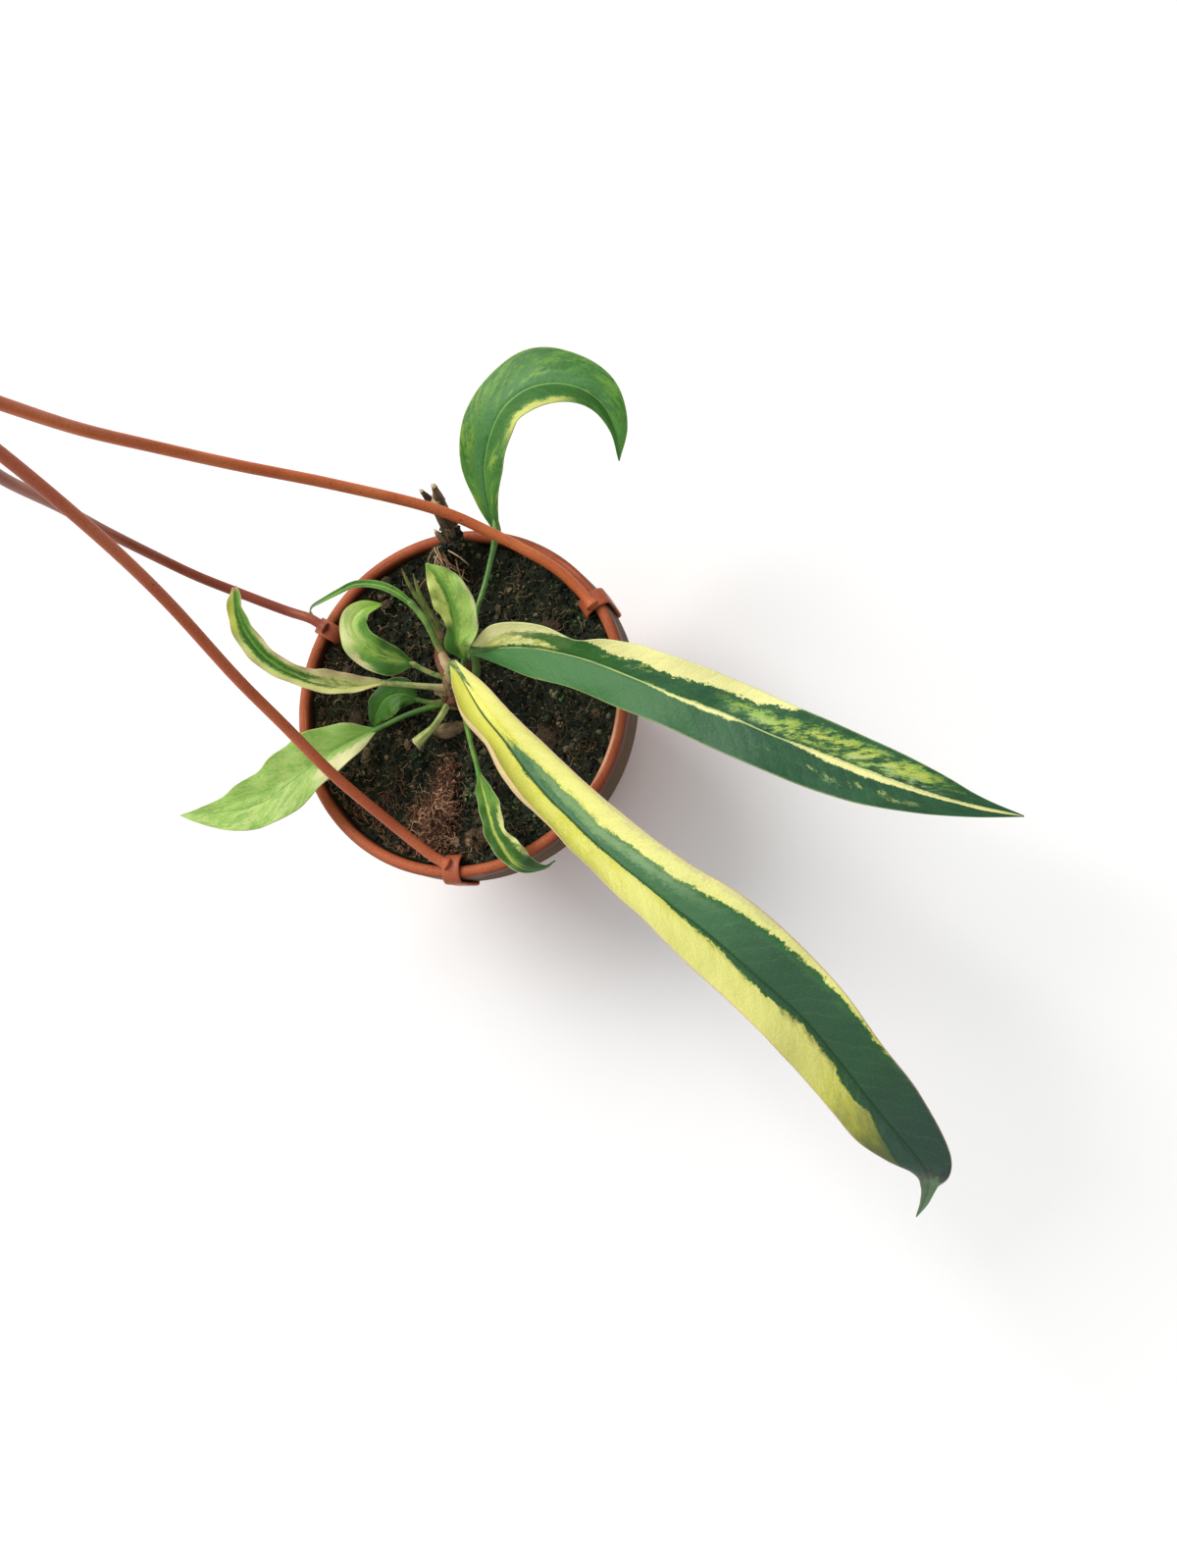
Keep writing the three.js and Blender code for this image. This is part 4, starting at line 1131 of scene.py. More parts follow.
@dataclass
class Hanger:
    """Three arms that clip to the rim and meet under a hub with a hook."""

    radius: float = 1.75
    root_radius: float = 2.2
    root_reach: float = 4.0
    sides: int = 20
    steps: int = 150
    hub: tuple[float, float, float] = (-61.3, 38.5, 239)
    hub_height: float = 9
    hub_radius: float = 6.2
    hook_rod: float = 2.1
    hook_ring: float = 11
    hook_stem: float = 12
    hook_sweep: float = 285
    nub_height: float = 0.55
    nub_reach: float = 0.9
    clip: Clip = field(default_factory=Clip)
    finish: Plastic = Plastic("hanger_plastic_satin", body=shade(180, 88, 54), pale=shade(194, 103, 66))
    clip_finish: Plastic = Plastic("hanger_clip_plastic", body=shade(158, 76, 46), pale=shade(176, 92, 60))
    # Painted light and shade: lighter and darker copies of the arm plastic, for the back arm in light and the
    # left arm in shade.
    sunlit_finish: Plastic = Plastic("hanger_plastic_painted_lit", body=shade(194, 98, 54),
                                     pale=shade(208, 116, 66))
    shaded_finish: Plastic = Plastic("hanger_plastic_painted_shade", body=shade(138, 64, 42),
                                     pale=shade(158, 80, 54))

    def arm(self, name: str, azimuth: float, points: Places, nubs: Sequence[float],
            finish: Plastic) -> None:
        """Build one arm with its clip.

        Args:
            name: The solid that it stands for.
            azimuth: Where round the rim it clips, degrees.
            points: The arm's middle line from the rim to the hub.
            nubs: Where moulding nubs stand on it, as shares of its length.
            finish: Its plastic.
        """
        s = np.linspace(0, 1, self.steps + 1)
        line = spline(points, s)
        length = line_length(line)
        radii = self.radius + (self.root_radius - self.radius) * bell(s * length, self.root_reach)
        relief = np.zeros((len(s), self.sides))
        upper = np.maximum(np.sin(turn_steps(self.sides)), 0) ** 3
        for nub in nubs:
            relief += self.nub_height * bell((s - nub) * length, self.nub_reach)[:, None] * upper[None, :]
        shape = Shape()
        shape.tube(line, radii, self.sides, relief=relief)
        self.clip.add_to(shape, azimuth)
        shape.piece(f"{name}_moulding", [finish.material(), self.clip_finish.material()],
                    [name], sharp=50)

    def hook(self) -> None:
        """Build the hub and the hook above it."""
        x, y, bottom = self.hub
        top = bottom + self.hub_height
        fillet = 1.0
        low, high = self.hub_radius, self.hub_radius * 0.72
        heights = [bottom + 0.02, bottom + 0.3, bottom + fillet, top - fillet, top - 0.3, top - 0.02]
        radii = [low - 0.9, low - 0.25, low * 0.985, high * 1.03, high - 0.25, high - 0.9]
        shape = Shape()
        s = np.linspace(0, 1, 26)
        middle = np.stack([np.full(len(s), x), np.full(len(s), y), spline(heights, s)], axis=1)
        shape.tube(middle, spline(radii, s), 40, blunt=0.0)
        centre = top + self.hook_stem + self.hook_ring
        angles = np.radians(np.linspace(-90, self.hook_sweep - 90, 14))
        ring = [(x + self.hook_ring * math.cos(a), y,
                 centre + self.hook_ring * math.sin(a)) for a in angles]
        stem = [(x, y, top - 3), (x - 0.6, y, top + 4), (x - 1.2, y, top + self.hook_stem - 3)]
        s = np.linspace(0, 1, 110)
        shape.tube(spline(stem + ring, s), self.hook_rod - 0.5 * np.clip((s - 0.94) / 0.06, 0, 1) ** 2, 20)
        shape.piece("hanger_hook_moulding", [self.finish.material()], ["hanger_hook"],
                    sharp=50)

    def build(self) -> None:
        """Build the three arms and the hook."""
        self.arm("hanger_arm_back", 32, (
            (48.2, 28.4, 87.4), (43.6, 34.2, 89.4), (35.7, 41.1, 94.3), (18.7, 50.1, 103.4),
            (2.8, 55.9, 113.9), (-21.5, 58.6, 132.5), (-42.1, 58.3, 152.7), (-54.7, 56.2, 172.7),
            (-60.3, 51.9, 193.4),
            (-60.6, 46.4, 217.7), (-61.2, 42.4, 238.5)), (0.52,), self.sunlit_finish)
        self.arm("hanger_arm_left", 150, (
            (-48.6, 28.2, 87.7), (-53.8, 31.6, 89.7), (-63, 34.9, 91.2), (-77.6, 40.4, 99.2),
            (-86.9, 43.8, 108.5), (-93.6, 46.9, 120.2), (-96.4, 48.2, 140), (-90, 45.1, 167.1),
            (-78, 38.4, 199.5),
            (-68, 36.4, 224), (-64.9, 36.4, 238.5)), (0.3,), self.shaded_finish)
        self.arm("hanger_arm_front", 270, (
            (-1, -55.2, 87.4), (-6.2, -51.8, 90.2), (-15.6, -42.7, 98.5), (-28.8, -28.3, 113.6),
            (-38.1, -14.8, 127.5), (-45.5, -2.6, 142.8), (-52.4, 13.8, 165.9), (-55.9, 24.4, 189.3),
            (-57.6, 32.4, 216.8),
            (-57.9, 36.2, 238.5)), (), self.finish)
        self.hook()


# Potting mix and what lies on it


@dataclass
class Mix:
    """Dark potting mix with crumbs, fibres, coir, bark and moss."""

    level: float = 77.6
    crest: float = 80.3
    edge_drop: float = 2
    bank: float = 4.6
    bank_left: float = 2.6
    heap: float = 15.0
    ridge: float = 85.4
    bottom: float = 3.6
    radius: float = 55.45
    floor_radius: float = 37.8
    rim_radius: float = 55.9
    rings: int = 88
    sectors: int = 220
    mound: float = 1.6
    mound_spread: float = 420
    heap_at: Range = (-1, 53)
    heap_spread: Range = (46, 34)
    strand_reach: float = 54.6
    crumb_count: int = 4600
    heap_crumb_count: int = 260
    stub_crumb_count: int = 190
    grit_count: int = 260
    rootlet_count: int = 900
    straw_count: int = 420
    seed: int = 11
    waves: tuple[tuple[float, float, float, float], ...] = (
        (0.16, 0.05, 0.75, 0.4), (-0.09, 0.21, 0.65, 1.9), (0.33, -0.24, 0.4, 3.1), (0.47, 0.38, 0.3, 5.2))
    peat: Crumb = Crumb("peat", (
        (0.12, shade(22, 27, 20)), (0.36, shade(41, 48, 34)), (0.58, shade(62, 67, 49)),
        (0.8, shade(98, 90, 66)), (0.97, shade(156, 142, 106))), warm=0.3)
    root: Crumb = Crumb("fine_rootlet", (
        (0.1, shade(40, 36, 26)), (0.45, shade(82, 74, 52)), (0.7, shade(122, 106, 76)),
        (0.95, shade(176, 156, 118))))
    tan: Crumb = Crumb("tan_fibre", (
        (0.1, shade(62, 40, 28)), (0.45, shade(112, 76, 54)), (0.7, shade(160, 120, 90)),
        (0.95, shade(214, 182, 148))),
        grit=0.8, roughness=0.75)
    coir: Crumb = Crumb("coir_fibre", (
        (0.1, shade(50, 36, 26)), (0.4, shade(96, 68, 49)), (0.65, shade(146, 104, 78)),
        (0.92, shade(210, 166, 134))),
        grit=0.8, roughness=0.78)
    bark: Crumb = Crumb("bark_chip", (
        (0.1, shade(40, 33, 25)), (0.4, shade(76, 62, 46)), (0.65, shade(120, 98, 74)),
        (0.9, shade(190, 162, 130))),
        grit=1.3, roughness=0.85, relief=0.5)
    moss: Crumb = Crumb("moss", (
        (0.1, shade(28, 40, 26)), (0.45, shade(48, 70, 44)), (0.7, shade(78, 104, 62)),
        (0.95, shade(132, 152, 92))),
        grit=0.8, roughness=0.8)
    mineral: Crumb = Crumb("pale_grit", (
        (0.1, shade(84, 76, 60)), (0.5, shade(120, 108, 86)), (0.9, shade(176, 164, 136))), grit=0.7,
        roughness=0.8)

    def height(self, x: np.ndarray, y: np.ndarray) -> np.ndarray:
        """Give the bed's height at a place, mm."""
        waved = sum(h * np.sin(a * x + b * y + phase) for a, b, h, phase in self.waves)
        square = np.asarray(x) ** 2 + np.asarray(y) ** 2
        mound = self.mound * np.exp(-square / self.mound_spread)
        out = np.sqrt(square) / self.rim_radius
        edge = -self.edge_drop * out**4
        plain = np.minimum(self.level + waved + mound + edge, self.crest)
        left = 0.5 - 0.5 * (0.75 * np.asarray(x) + 0.3 * np.asarray(y)) / np.maximum(np.sqrt(square), 1e-6)
        bank = (self.bank + self.bank_left * left) * np.clip((out - 0.6) / 0.4, 0, 1) ** 1.6
        (heap_x, heap_y), (wide, deep) = self.heap_at, self.heap_spread
        off = (np.asarray(x) - heap_x) ** 2 / wide + (np.asarray(y) - heap_y) ** 2 / deep
        back = self.heap * np.exp(-off)
        return np.minimum(plain + bank + back, self.ridge + (self.radius - np.sqrt(square)) * 1.6)

    def bed(self) -> None:
        """Build the mix itself: a filled cone with a crumbly top."""
        angle = turn_steps(self.sectors)
        reach = self.radius * (np.arange(1, self.rings + 1) / self.rings) ** 0.8
        x = (reach[:, None] * np.cos(angle)).ravel()
        y = (reach[:, None] * np.sin(angle)).ravel()
        z = self.height(x, y)
        flat = np.stack([x, y, z], axis=1)
        fade = np.clip((self.radius - np.hypot(x, y)) / 3, 0.15, 1)
        z = z + fade * (0.75 * rough(flat, 4.2, 4, 3.0) + 0.6 * rough(flat, 1.5, 3, 8.0) - 0.25)
        top = np.stack([x, y, z], axis=1)
        low = np.stack([self.floor_radius * np.cos(angle), self.floor_radius * np.sin(angle),
                        np.full(self.sectors, self.bottom)], axis=1)
        points = np.concatenate([top, low, [(0, 0, float(z[:self.sectors].mean())), (0, 0, self.bottom)]])
        shape = Shape()
        shape.add(points, closed_faces(self.rings + 1, self.sectors, flip=True), tone=0.22)
        shape.piece("potting_mix_bed", [self.peat.material()], ["potting_mix"])

    def scatter(self, rng: np.random.Generator, count: int, reach: float = 54.0) -> np.ndarray:
        """Pick places over the mix.

        Args:
            rng: Source of random numbers.
            count: How many.
            reach: How far out, mm.

        Returns:
            Places with their bed height, n x 3.
        """
        angle = rng.uniform(0, TURN, count)
        out = reach * np.sqrt(rng.uniform(0, 1, count))
        x, y = out * np.cos(angle), out * np.sin(angle)
        return np.stack([x, y, self.height(x, y)], axis=1)

    def on_bed(self, x: float, y: float, lift: float) -> np.ndarray:
        """Give the point at a height over the bed."""
        return np.array([x, y, float(self.height(x, y)) + lift])

    @staticmethod
    def crumb(shape: Shape, rng: np.random.Generator, spot: Sequence[float], low: float, high: float) -> None:
        """Add a crumb with a size, a turn and a tone of its own."""
        size = rng.uniform(low, high) * rng.uniform(0.6, 1.3, 3)
        shape.lump(spot, size, rng.uniform(0, TURN, 3), 1, 0.35, 0.6, rng.uniform() ** 2.2)

    def crumbs(self) -> None:
        """Scatter crumbs of peat and a few pale grains."""
        rng = np.random.default_rng(self.seed)
        shape = Shape()
        for place in self.scatter(rng, self.crumb_count, 55.0):
            size = rng.uniform(0.3, 0.72) * (1 + 1.6 * rng.uniform() ** 6)
            place = place + (0, 0, rng.uniform(-0.3, 0.5))
            turn = rng.uniform(0, TURN, 3)
            tone = rng.uniform() ** 2.2
            shape.lump(place, size * rng.uniform(0.6, 1.3, 3), turn, 1, 0.35, 0.6, tone)
        for _ in range(self.heap_crumb_count):
            x, y = rng.normal(-1, 3.4), min(rng.normal(52.5, 2.6), 55.2)
            self.crumb(shape, rng, self.on_bed(x, y, rng.uniform(-0.4, 1.0)), 0.4, 1.0)
        for _ in range(self.stub_crumb_count):
            lean, angle = rng.uniform(0, 1) ** 1.5, rng.uniform(0, TURN)
            spot = np.array([0.4 + 2.9 * math.cos(angle), 54.4 + 3.6 * lean + 2.4 * math.sin(angle),
                             88.5 + 6.4 * lean])
            self.crumb(shape, rng, spot, 0.45, 0.95)
        shape.piece("peat_crumbs", [self.peat.material()], sharp=35)
        shape = Shape()
        for place in self.scatter(rng, self.grit_count, 53):
            size = rng.uniform(0.15, 0.4)
            turn = rng.uniform(0, TURN, 3)
            shape.lump(place + (0, 0, 0.6), size * rng.uniform(0.6, 1.3, 3), turn, 1, 0.3, 0.6,
                       rng.uniform() ** 1.5)
        shape.piece("pale_grit", [self.mineral.material()], sharp=35)

    def strand(self, rng: np.random.Generator, start: np.ndarray, length: float, wander: float, lift: float,
               steps: int = 8, way: Optional[float] = None) -> np.ndarray:
        """Lay a wandering strand on the mix.

        Args:
            rng: Source of random numbers.
            start: Where it begins.
            length: Its length, mm.
            wander: How much it turns, radians for its whole length.
            lift: How steeply it rises at first, radians.
            steps: Number of pieces along it.
            way: Which way it sets off, radians, or any way.

        Returns:
            Its points.
        """
        first = rng.uniform(0, TURN) if way is None else way
        turn = first + np.cumsum(rng.normal(0, wander / math.sqrt(steps), steps))
        climb = lift * np.linspace(1, -1, steps) + rng.normal(0, 0.25, steps)
        step = length / steps
        moves = step * np.stack([np.cos(turn) * np.cos(climb), np.sin(turn) * np.cos(climb), np.sin(climb)],
                                axis=1)
        points = start + np.concatenate([np.zeros((1, 3)), np.cumsum(moves, axis=0)])
        over = np.hypot(points[:, 0], points[:, 1])
        pull = np.minimum(1, self.strand_reach / np.maximum(over, 1e-6))
        points[:, :2] *= pull[:, None]
        floor = self.height(points[:, 0], points[:, 1]) - 0.1
        points[:, 2] = np.maximum(points[:, 2], floor)
        return points

    def strands(self) -> None:
        """Lay dark rootlets and pale straw over the mix."""
        rng = np.random.default_rng(self.seed + 1)
        shape = Shape()
        for place in self.scatter(rng, self.rootlet_count):
            points = self.strand(rng, place + (0, 0, 0.4), rng.uniform(2, 9), 1.8, rng.uniform(0, 0.7))
            shape.tube(points, np.linspace(0.14, 0.06, 9) * rng.uniform(0.7, 1.4), 4, rng.uniform() ** 1.3)
        shape.piece("rootlets", [self.root.material()])
        shape = Shape()
        for place in self.scatter(rng, self.straw_count):
            points = self.strand(rng, place + (0, 0, 0.6), rng.uniform(1.5, 7), 1.2, rng.uniform(0, 0.6))
            shape.tube(points, np.linspace(0.13, 0.06, 9) * rng.uniform(0.7, 1.4), 4, 0.55 * rng.uniform())
        bundles = (
            (-4.6, 49.5, 24, 14, 3.0), (-9.8, 47.0, 16, 9, 3.4), (-1.2, 45.0, 12, 11, 3.0),
            (30.5, 24, 10, 6, 3), (28, -11.5, 10, 6, 3), (44, -19, 10, 5, 3), (-47, 25, 14, 5, 3),
            (41, 10, 8, 4, 3), (-30, -38, 46, 9, 6), (-42, -26, 34, 8, 5), (-18, -48, 34, 8, 5),
            (-50, 0, 18, 6, 5), (8, -49, 20, 6, 4), (-46, 14, 14, 6, 4))
        for x, y, number, length, spread in bundles:
            for _ in range(number):
                start = np.append(np.array([x, y]) + rng.normal(0, spread, 2), 0.0)
                start *= min(1.0, 53 / float(np.hypot(start[0], start[1])))
                start[2] = self.height(start[0], start[1]) + rng.uniform(0.3, 1.4)
                upright = y > 40
                way = -1.15 + rng.normal(0, 0.45) if upright else None
                points = self.strand(rng, start, rng.uniform(0.4, 1) * length, 0.12 if upright else 1.3,
                                     rng.uniform(0, 0.8), way=way)
                tone = (0.5 if upright else 0.15) + 0.5 * rng.uniform()
                thick = 0.26 if upright else 0.17
                shape.tube(points, np.linspace(thick, thick / 2, 9) * rng.uniform(0.6, 1.3), 5, tone)
        shape.piece("straw_fibres", [self.tan.material()])

    def coir_tuft(self) -> None:
        """Build the tuft of coir: a matted clump from which loose fibres splay towards the rim."""
        rng = np.random.default_rng(self.seed + 2)
        shape = Shape()
        for x, y, size, tone in ((-5.6, -27.5, (3.0, 4.0, 1.8), 0.2), (-7.2, -36.5, (3.0, 4.8, 1.8), 0.1),
                                 (-8.5, -44.0, (3.6, 3.4, 1.4), 0.04)):
            turn = (0, 0, rng.uniform(-0.4, 0.4))
            shape.lump(self.on_bed(x, y, -0.2), size, turn, 4, 0.3, 0.3, tone)
        groups = (
            (-5.8, -27.0, 2.2, 4.2, 420, 5, 4.2, None, 0.3),
            (-7.2, -34.5, 1.8, 2.6, 260, 9, 1.3, -1.6, 0.6),
            (-8.6, -40.0, 3.4, 4.6, 420, 6, 3.6, None, 0.3),
            (-12.0, -38.5, 2.4, 3.6, 110, 7, 2.0, None, 0.55),
            (-9.5, -46.5, 4.2, 2.6, 160, 6, 2.6, None, 0.4))
        for x, y, wide, deep, number, length, wander, way, pale in groups:
            for _ in range(number):
                px, py = x + rng.normal(0, wide), y + rng.normal(0, deep)
                dome = 2.2 * math.exp(-((px - x) ** 2 / 18 + (py - y) ** 2 / 30))
                start = self.on_bed(px, py, dome) + (0, 0, rng.uniform(-0.3, 1.0))
                aim = None if way is None else way + rng.normal(0, 0.55)
                points = self.strand(rng, start, length * rng.uniform(0.4, 1.1), wander,
                                     rng.uniform(0, 0.7), 10, aim)
                tone = min(1.0, pale * rng.uniform(0, 1) + 0.9 * rng.uniform() ** 2.0)
                shape.tube(points, np.linspace(0.2, 0.09, 11) * rng.uniform(0.55, 1.35), 4, tone)
        shape.piece("coir_fibre_tuft", [self.coir.material()], ["coir_tuft"])

    def chips(self) -> None:
        """Build the bark chips, each one rough."""
        rng = np.random.default_rng(self.seed + 3)
        known = (
            ("bark_chip_front", 9.5, -44.5, (5.2, 3.4, 1.7), 30),
            ("bark_chip_left", -40.5, -3.5, (4.6, 3.2, 1.6), 75),
            ("bark_chip_right", 30, -12.5, (4.2, 3.0, 1.5), 140),
            ("bark_chip_back", 30.5, 25, (4.6, 2.8, 1.5), 10))
        material = self.bark.material()
        for name, x, y, size, turn in known:
            shape = Shape()
            tone = 0.05 + 0.25 * rng.uniform()
            spot, lean = self.on_bed(x, y, 0.4), (0.25, 0, math.radians(turn))
            shape.lump(spot, np.array(size) * 0.94, lean, 4, 0.3, 0.55, tone)
            shape.piece(f"{name}_rough", [material], [name], sharp=28)
        shape = Shape()
        extra = (
            (3.8, -44.6, 2.3, 0.35), (7.9, -39.8, 2.2, 0.3), (3.2, -47.6, 1.6, 0.7),
            (-1.9, -47.1, 1.8, 0.8), (-20.4, -13.4, 1.9, 0.6), (-35.3, -16.2, 2.0, 0.5),
            (42.4, 10.2, 1.3, 0.95), (-30, 38, 2.2, 0.3), (20, 42, 2, 0.25), (38, -34, 2.4, 0.3),
            (22, -28, 1.8, 0.35), (-28, -32, 2.1, 0.3), (12, 33, 1.6, 0.4), (-44, 14, 1.8, 0.5),
            (48, -6, 1.7, 0.4), (14, -22, 1.5, 0.3))
        for x, y, size, tone in extra:
            spread = size * np.array([rng.uniform(0.9, 1.4), rng.uniform(0.6, 1), rng.uniform(0.35, 0.55)])
            turn = rng.uniform(-0.4, 0.4, 2).tolist() + [rng.uniform(0, TURN)]
            shape.lump(self.on_bed(x, y, 0.3), spread, turn, 3, 0.35, 0.6, tone)
        shape.piece("loose_bark_crumbs", [material], sharp=28)

    def moss_tufts(self) -> None:
        """Build small clumps of moss leaflets."""
        rng = np.random.default_rng(self.seed + 4)
        shape = Shape()
        clumps = ((2.8, -29.6, 34, 2.4), (-15.5, -17.1, 20, 2.4), (18, -34, 16, 2.6), (36, 2, 16, 3),
                  (-24, 40, 14, 3), (40, 26, 14, 3), (10, 44, 12, 3), (-38, -22, 16, 3), (26, -40, 18, 3),
                  (-46, 8, 10, 2))
        for x, y, number, spread in clumps:
            for _ in range(number):
                px, py = np.array([x, y]) + rng.normal(0, spread * 0.6, 2)
                start = self.on_bed(px, py, 0.2)
                points = self.strand(rng, start, rng.uniform(1.2, 2.6), 0.8, rng.uniform(0.4, 1.2), 4)
                widths = np.array([0.2, 0.45, 0.5, 0.34, 0.08]) * rng.uniform(0.7, 1.2)
                shape.tube(points, widths, 6, rng.uniform(), flat=0.35)
        shape.piece("moss_flecks", [self.moss.material()])

    def build(self) -> None:
        """Build the mix and everything that lies on it."""
        self.bed()
        self.crumbs()
        self.strands()
        self.coir_tuft()
        self.chips()
        self.moss_tufts()


# Dry stub, crown, shoots and cut stalk


def husk(shape: Shape, points: Places, widths: Sequence[float], facing: Sequence[float], arc: float = 170,
         thin: float = 0.22, ragged: float = 0.5, tone: float = 0.5, slot: int = 0) -> None:
    """Add a dry scale: a half-tube that tapers to a ragged point.

    Args:
        shape: What gathers it.
        points: Its middle line from base to tip.
        widths: Half its width along it.
        facing: The way its back faces.
        arc: How far round it curls, degrees.
        thin: Half its thickness, mm.
        ragged: How uneven its edges are, mm.
        tone: The part's tone.
        slot: Which of the piece's materials it takes.
    """
    rows, columns = 36, 17
    s = np.linspace(0, 1, rows)
    middle = spline(points, s)
    along = unit(np.gradient(middle, axis=0))
    back = np.asarray(facing, float)
    face = unit(back - along * (along @ back)[:, None])
    left = np.cross(face, along)
    radius = np.maximum(spline(widths, s), 0.08)
    bend = np.radians(arc) / 2 * np.linspace(1, -1, columns)
    tear = ragged * rough(np.stack([s * 30, np.zeros(rows), np.full(rows, tone * 50)], axis=1), 2.2, 3)
    torn = tear[:, None] * np.abs(np.linspace(-1, 1, columns)) ** 3
    reach = radius[:, None] + torn * (radius[:, None] > 0.3)
    outward = np.cos(bend)[:, None] * face[:, None] + np.sin(bend)[:, None] * left[:, None]
    grid = middle[:, None, :] + outward * reach[:, :, None]
    wrinkle = 0.12 * rough(grid.reshape(-1, 3) * (1, 1, 0.4), 1.3, 3, tone * 20).reshape(rows, columns)
    grid = grid + outward * wrinkle[:, :, None]
    depth = np.full((rows, columns), thin)
    shape.sheet(grid, outward, depth, depth, tone=tone, slot=slot)


def fibre(shape: Shape, points: Sequence[np.ndarray], widths: tuple[float, float], steps: int, sides: int,
          tone: float, slot: int) -> None:
    """Add a thin tube along a curve through points, narrowing evenly between two radii."""
    line = spline(points, np.linspace(0, 1, steps))
    shape.tube(line, np.linspace(*widths, steps), sides, tone, slot)


@dataclass
class Stub:
    """Dry forked wood stub with splintered tips."""

    trunk: Places = ((-0.6, 48, 66), (0, 50, 76), (0.4, 52.2, 84), (0.4, 55.6, 90.6), (0, 59.2, 97),
                     (-0.3, 63.2, 104.6))
    trunk_radii: Sequence[float] = (2.2, 2.4, 2.6, 2.8, 2.9, 2.7)
    prongs: tuple = (
        (((-1.1, 61.4, 100.6), (-2.2, 63.0, 105.4), (-3.0, 64.2, 109.4)), (1.7, 1.2, 0.6)),
        (((0.6, 61.4, 100.6), (1.2, 63.4, 106), (2.0, 64.6, 111)), (2.0, 1.6, 0.8)),
        (((-2, 54, 90), (-3.8, 55.6, 92.4), (-5, 56.8, 93.4)), (1.4, 1.1, 0.6)))
    tip_splinters: int = 9
    side_splinters: int = 26
    seed: int = 31
    finish: Fibrous = Fibrous(
        "weathered_wood", shade(150, 128, 100), shade(92, 74, 58), shade(48, 38, 30), shade(206, 190, 146),
        0.97, roughness=0.85, relief=0.4)
    splinter: Fibrous = Fibrous(
        "pale_splinter", shade(226, 208, 156), shade(190, 164, 116), shade(120, 96, 68),
        shade(230, 216, 170), 0.8)

    def bark_relief(self, points: np.ndarray, sides: int, seed: float) -> np.ndarray:
        """Give lengthwise grooves and knots for a tube."""
        angle = turn_steps(sides)
        length = line_length(points)
        s = np.linspace(0, length, len(points))
        grid = np.stack([
            np.repeat(np.cos(angle)[None, :] * 3, len(s), 0),
            np.repeat(np.sin(angle)[None, :] * 3, len(s), 0),
            np.repeat(s[:, None] * 0.16, sides, 1)], axis=2).reshape(-1, 3)
        return 0.34 * rough(grid, 1.0, 4, seed).reshape(len(s), sides)

    def build(self) -> None:
        """Build the stub."""
        rng = np.random.default_rng(self.seed)
        shape = Shape()
        s = np.linspace(0, 1, 90)
        line = spline(self.trunk, s)
        shape.tube(line, spline(self.trunk_radii, s) - 0.15, 28, 0.35,
                   relief=self.bark_relief(line, 28, 1.0))
        for number, (points, radii) in enumerate(self.prongs):
            t = np.linspace(0, 1, 40)
            prong = spline(points, t)
            shape.tube(prong, spline(radii, t), 20, 0.45 + 0.1 * number,
                       relief=self.bark_relief(prong, 20, 4.0 + number))
            for _ in range(self.tip_splinters):
                tip = prong[-1] + rng.normal(0, 0.45, 3) * (1, 1, 0.4)
                root = prong[-14] + rng.normal(0, 0.3, 3)
                way = unit(prong[-1] - prong[-8]) * rng.uniform(0.2, 0.9)
                middle = (root + tip) / 2 + rng.normal(0, 0.2, 3)
                fibre(shape, [root, middle, tip + way], (0.34, 0.06), 7, 5, rng.uniform(), 1)
        for _ in range(self.side_splinters):
            at = rng.uniform(0.25, 0.95)
            root = spline(self.trunk, np.array([at]))[0] + rng.normal(0, 1.2, 3)
            tip = root + rng.normal(0, 1.2, 3) + (0, 1.5, 3.5 * rng.uniform(0.5, 1.2))
            bend = (root + tip) / 2 + rng.normal(0, 0.5, 3)
            fibre(shape, [root, bend, tip], (0.16, 0.06), 8, 4, rng.uniform(), int(rng.uniform() > 0.6))
        shape.piece("dry_forked_stub", [self.finish.material(), self.splinter.material()],
                    ["dry_stub"])


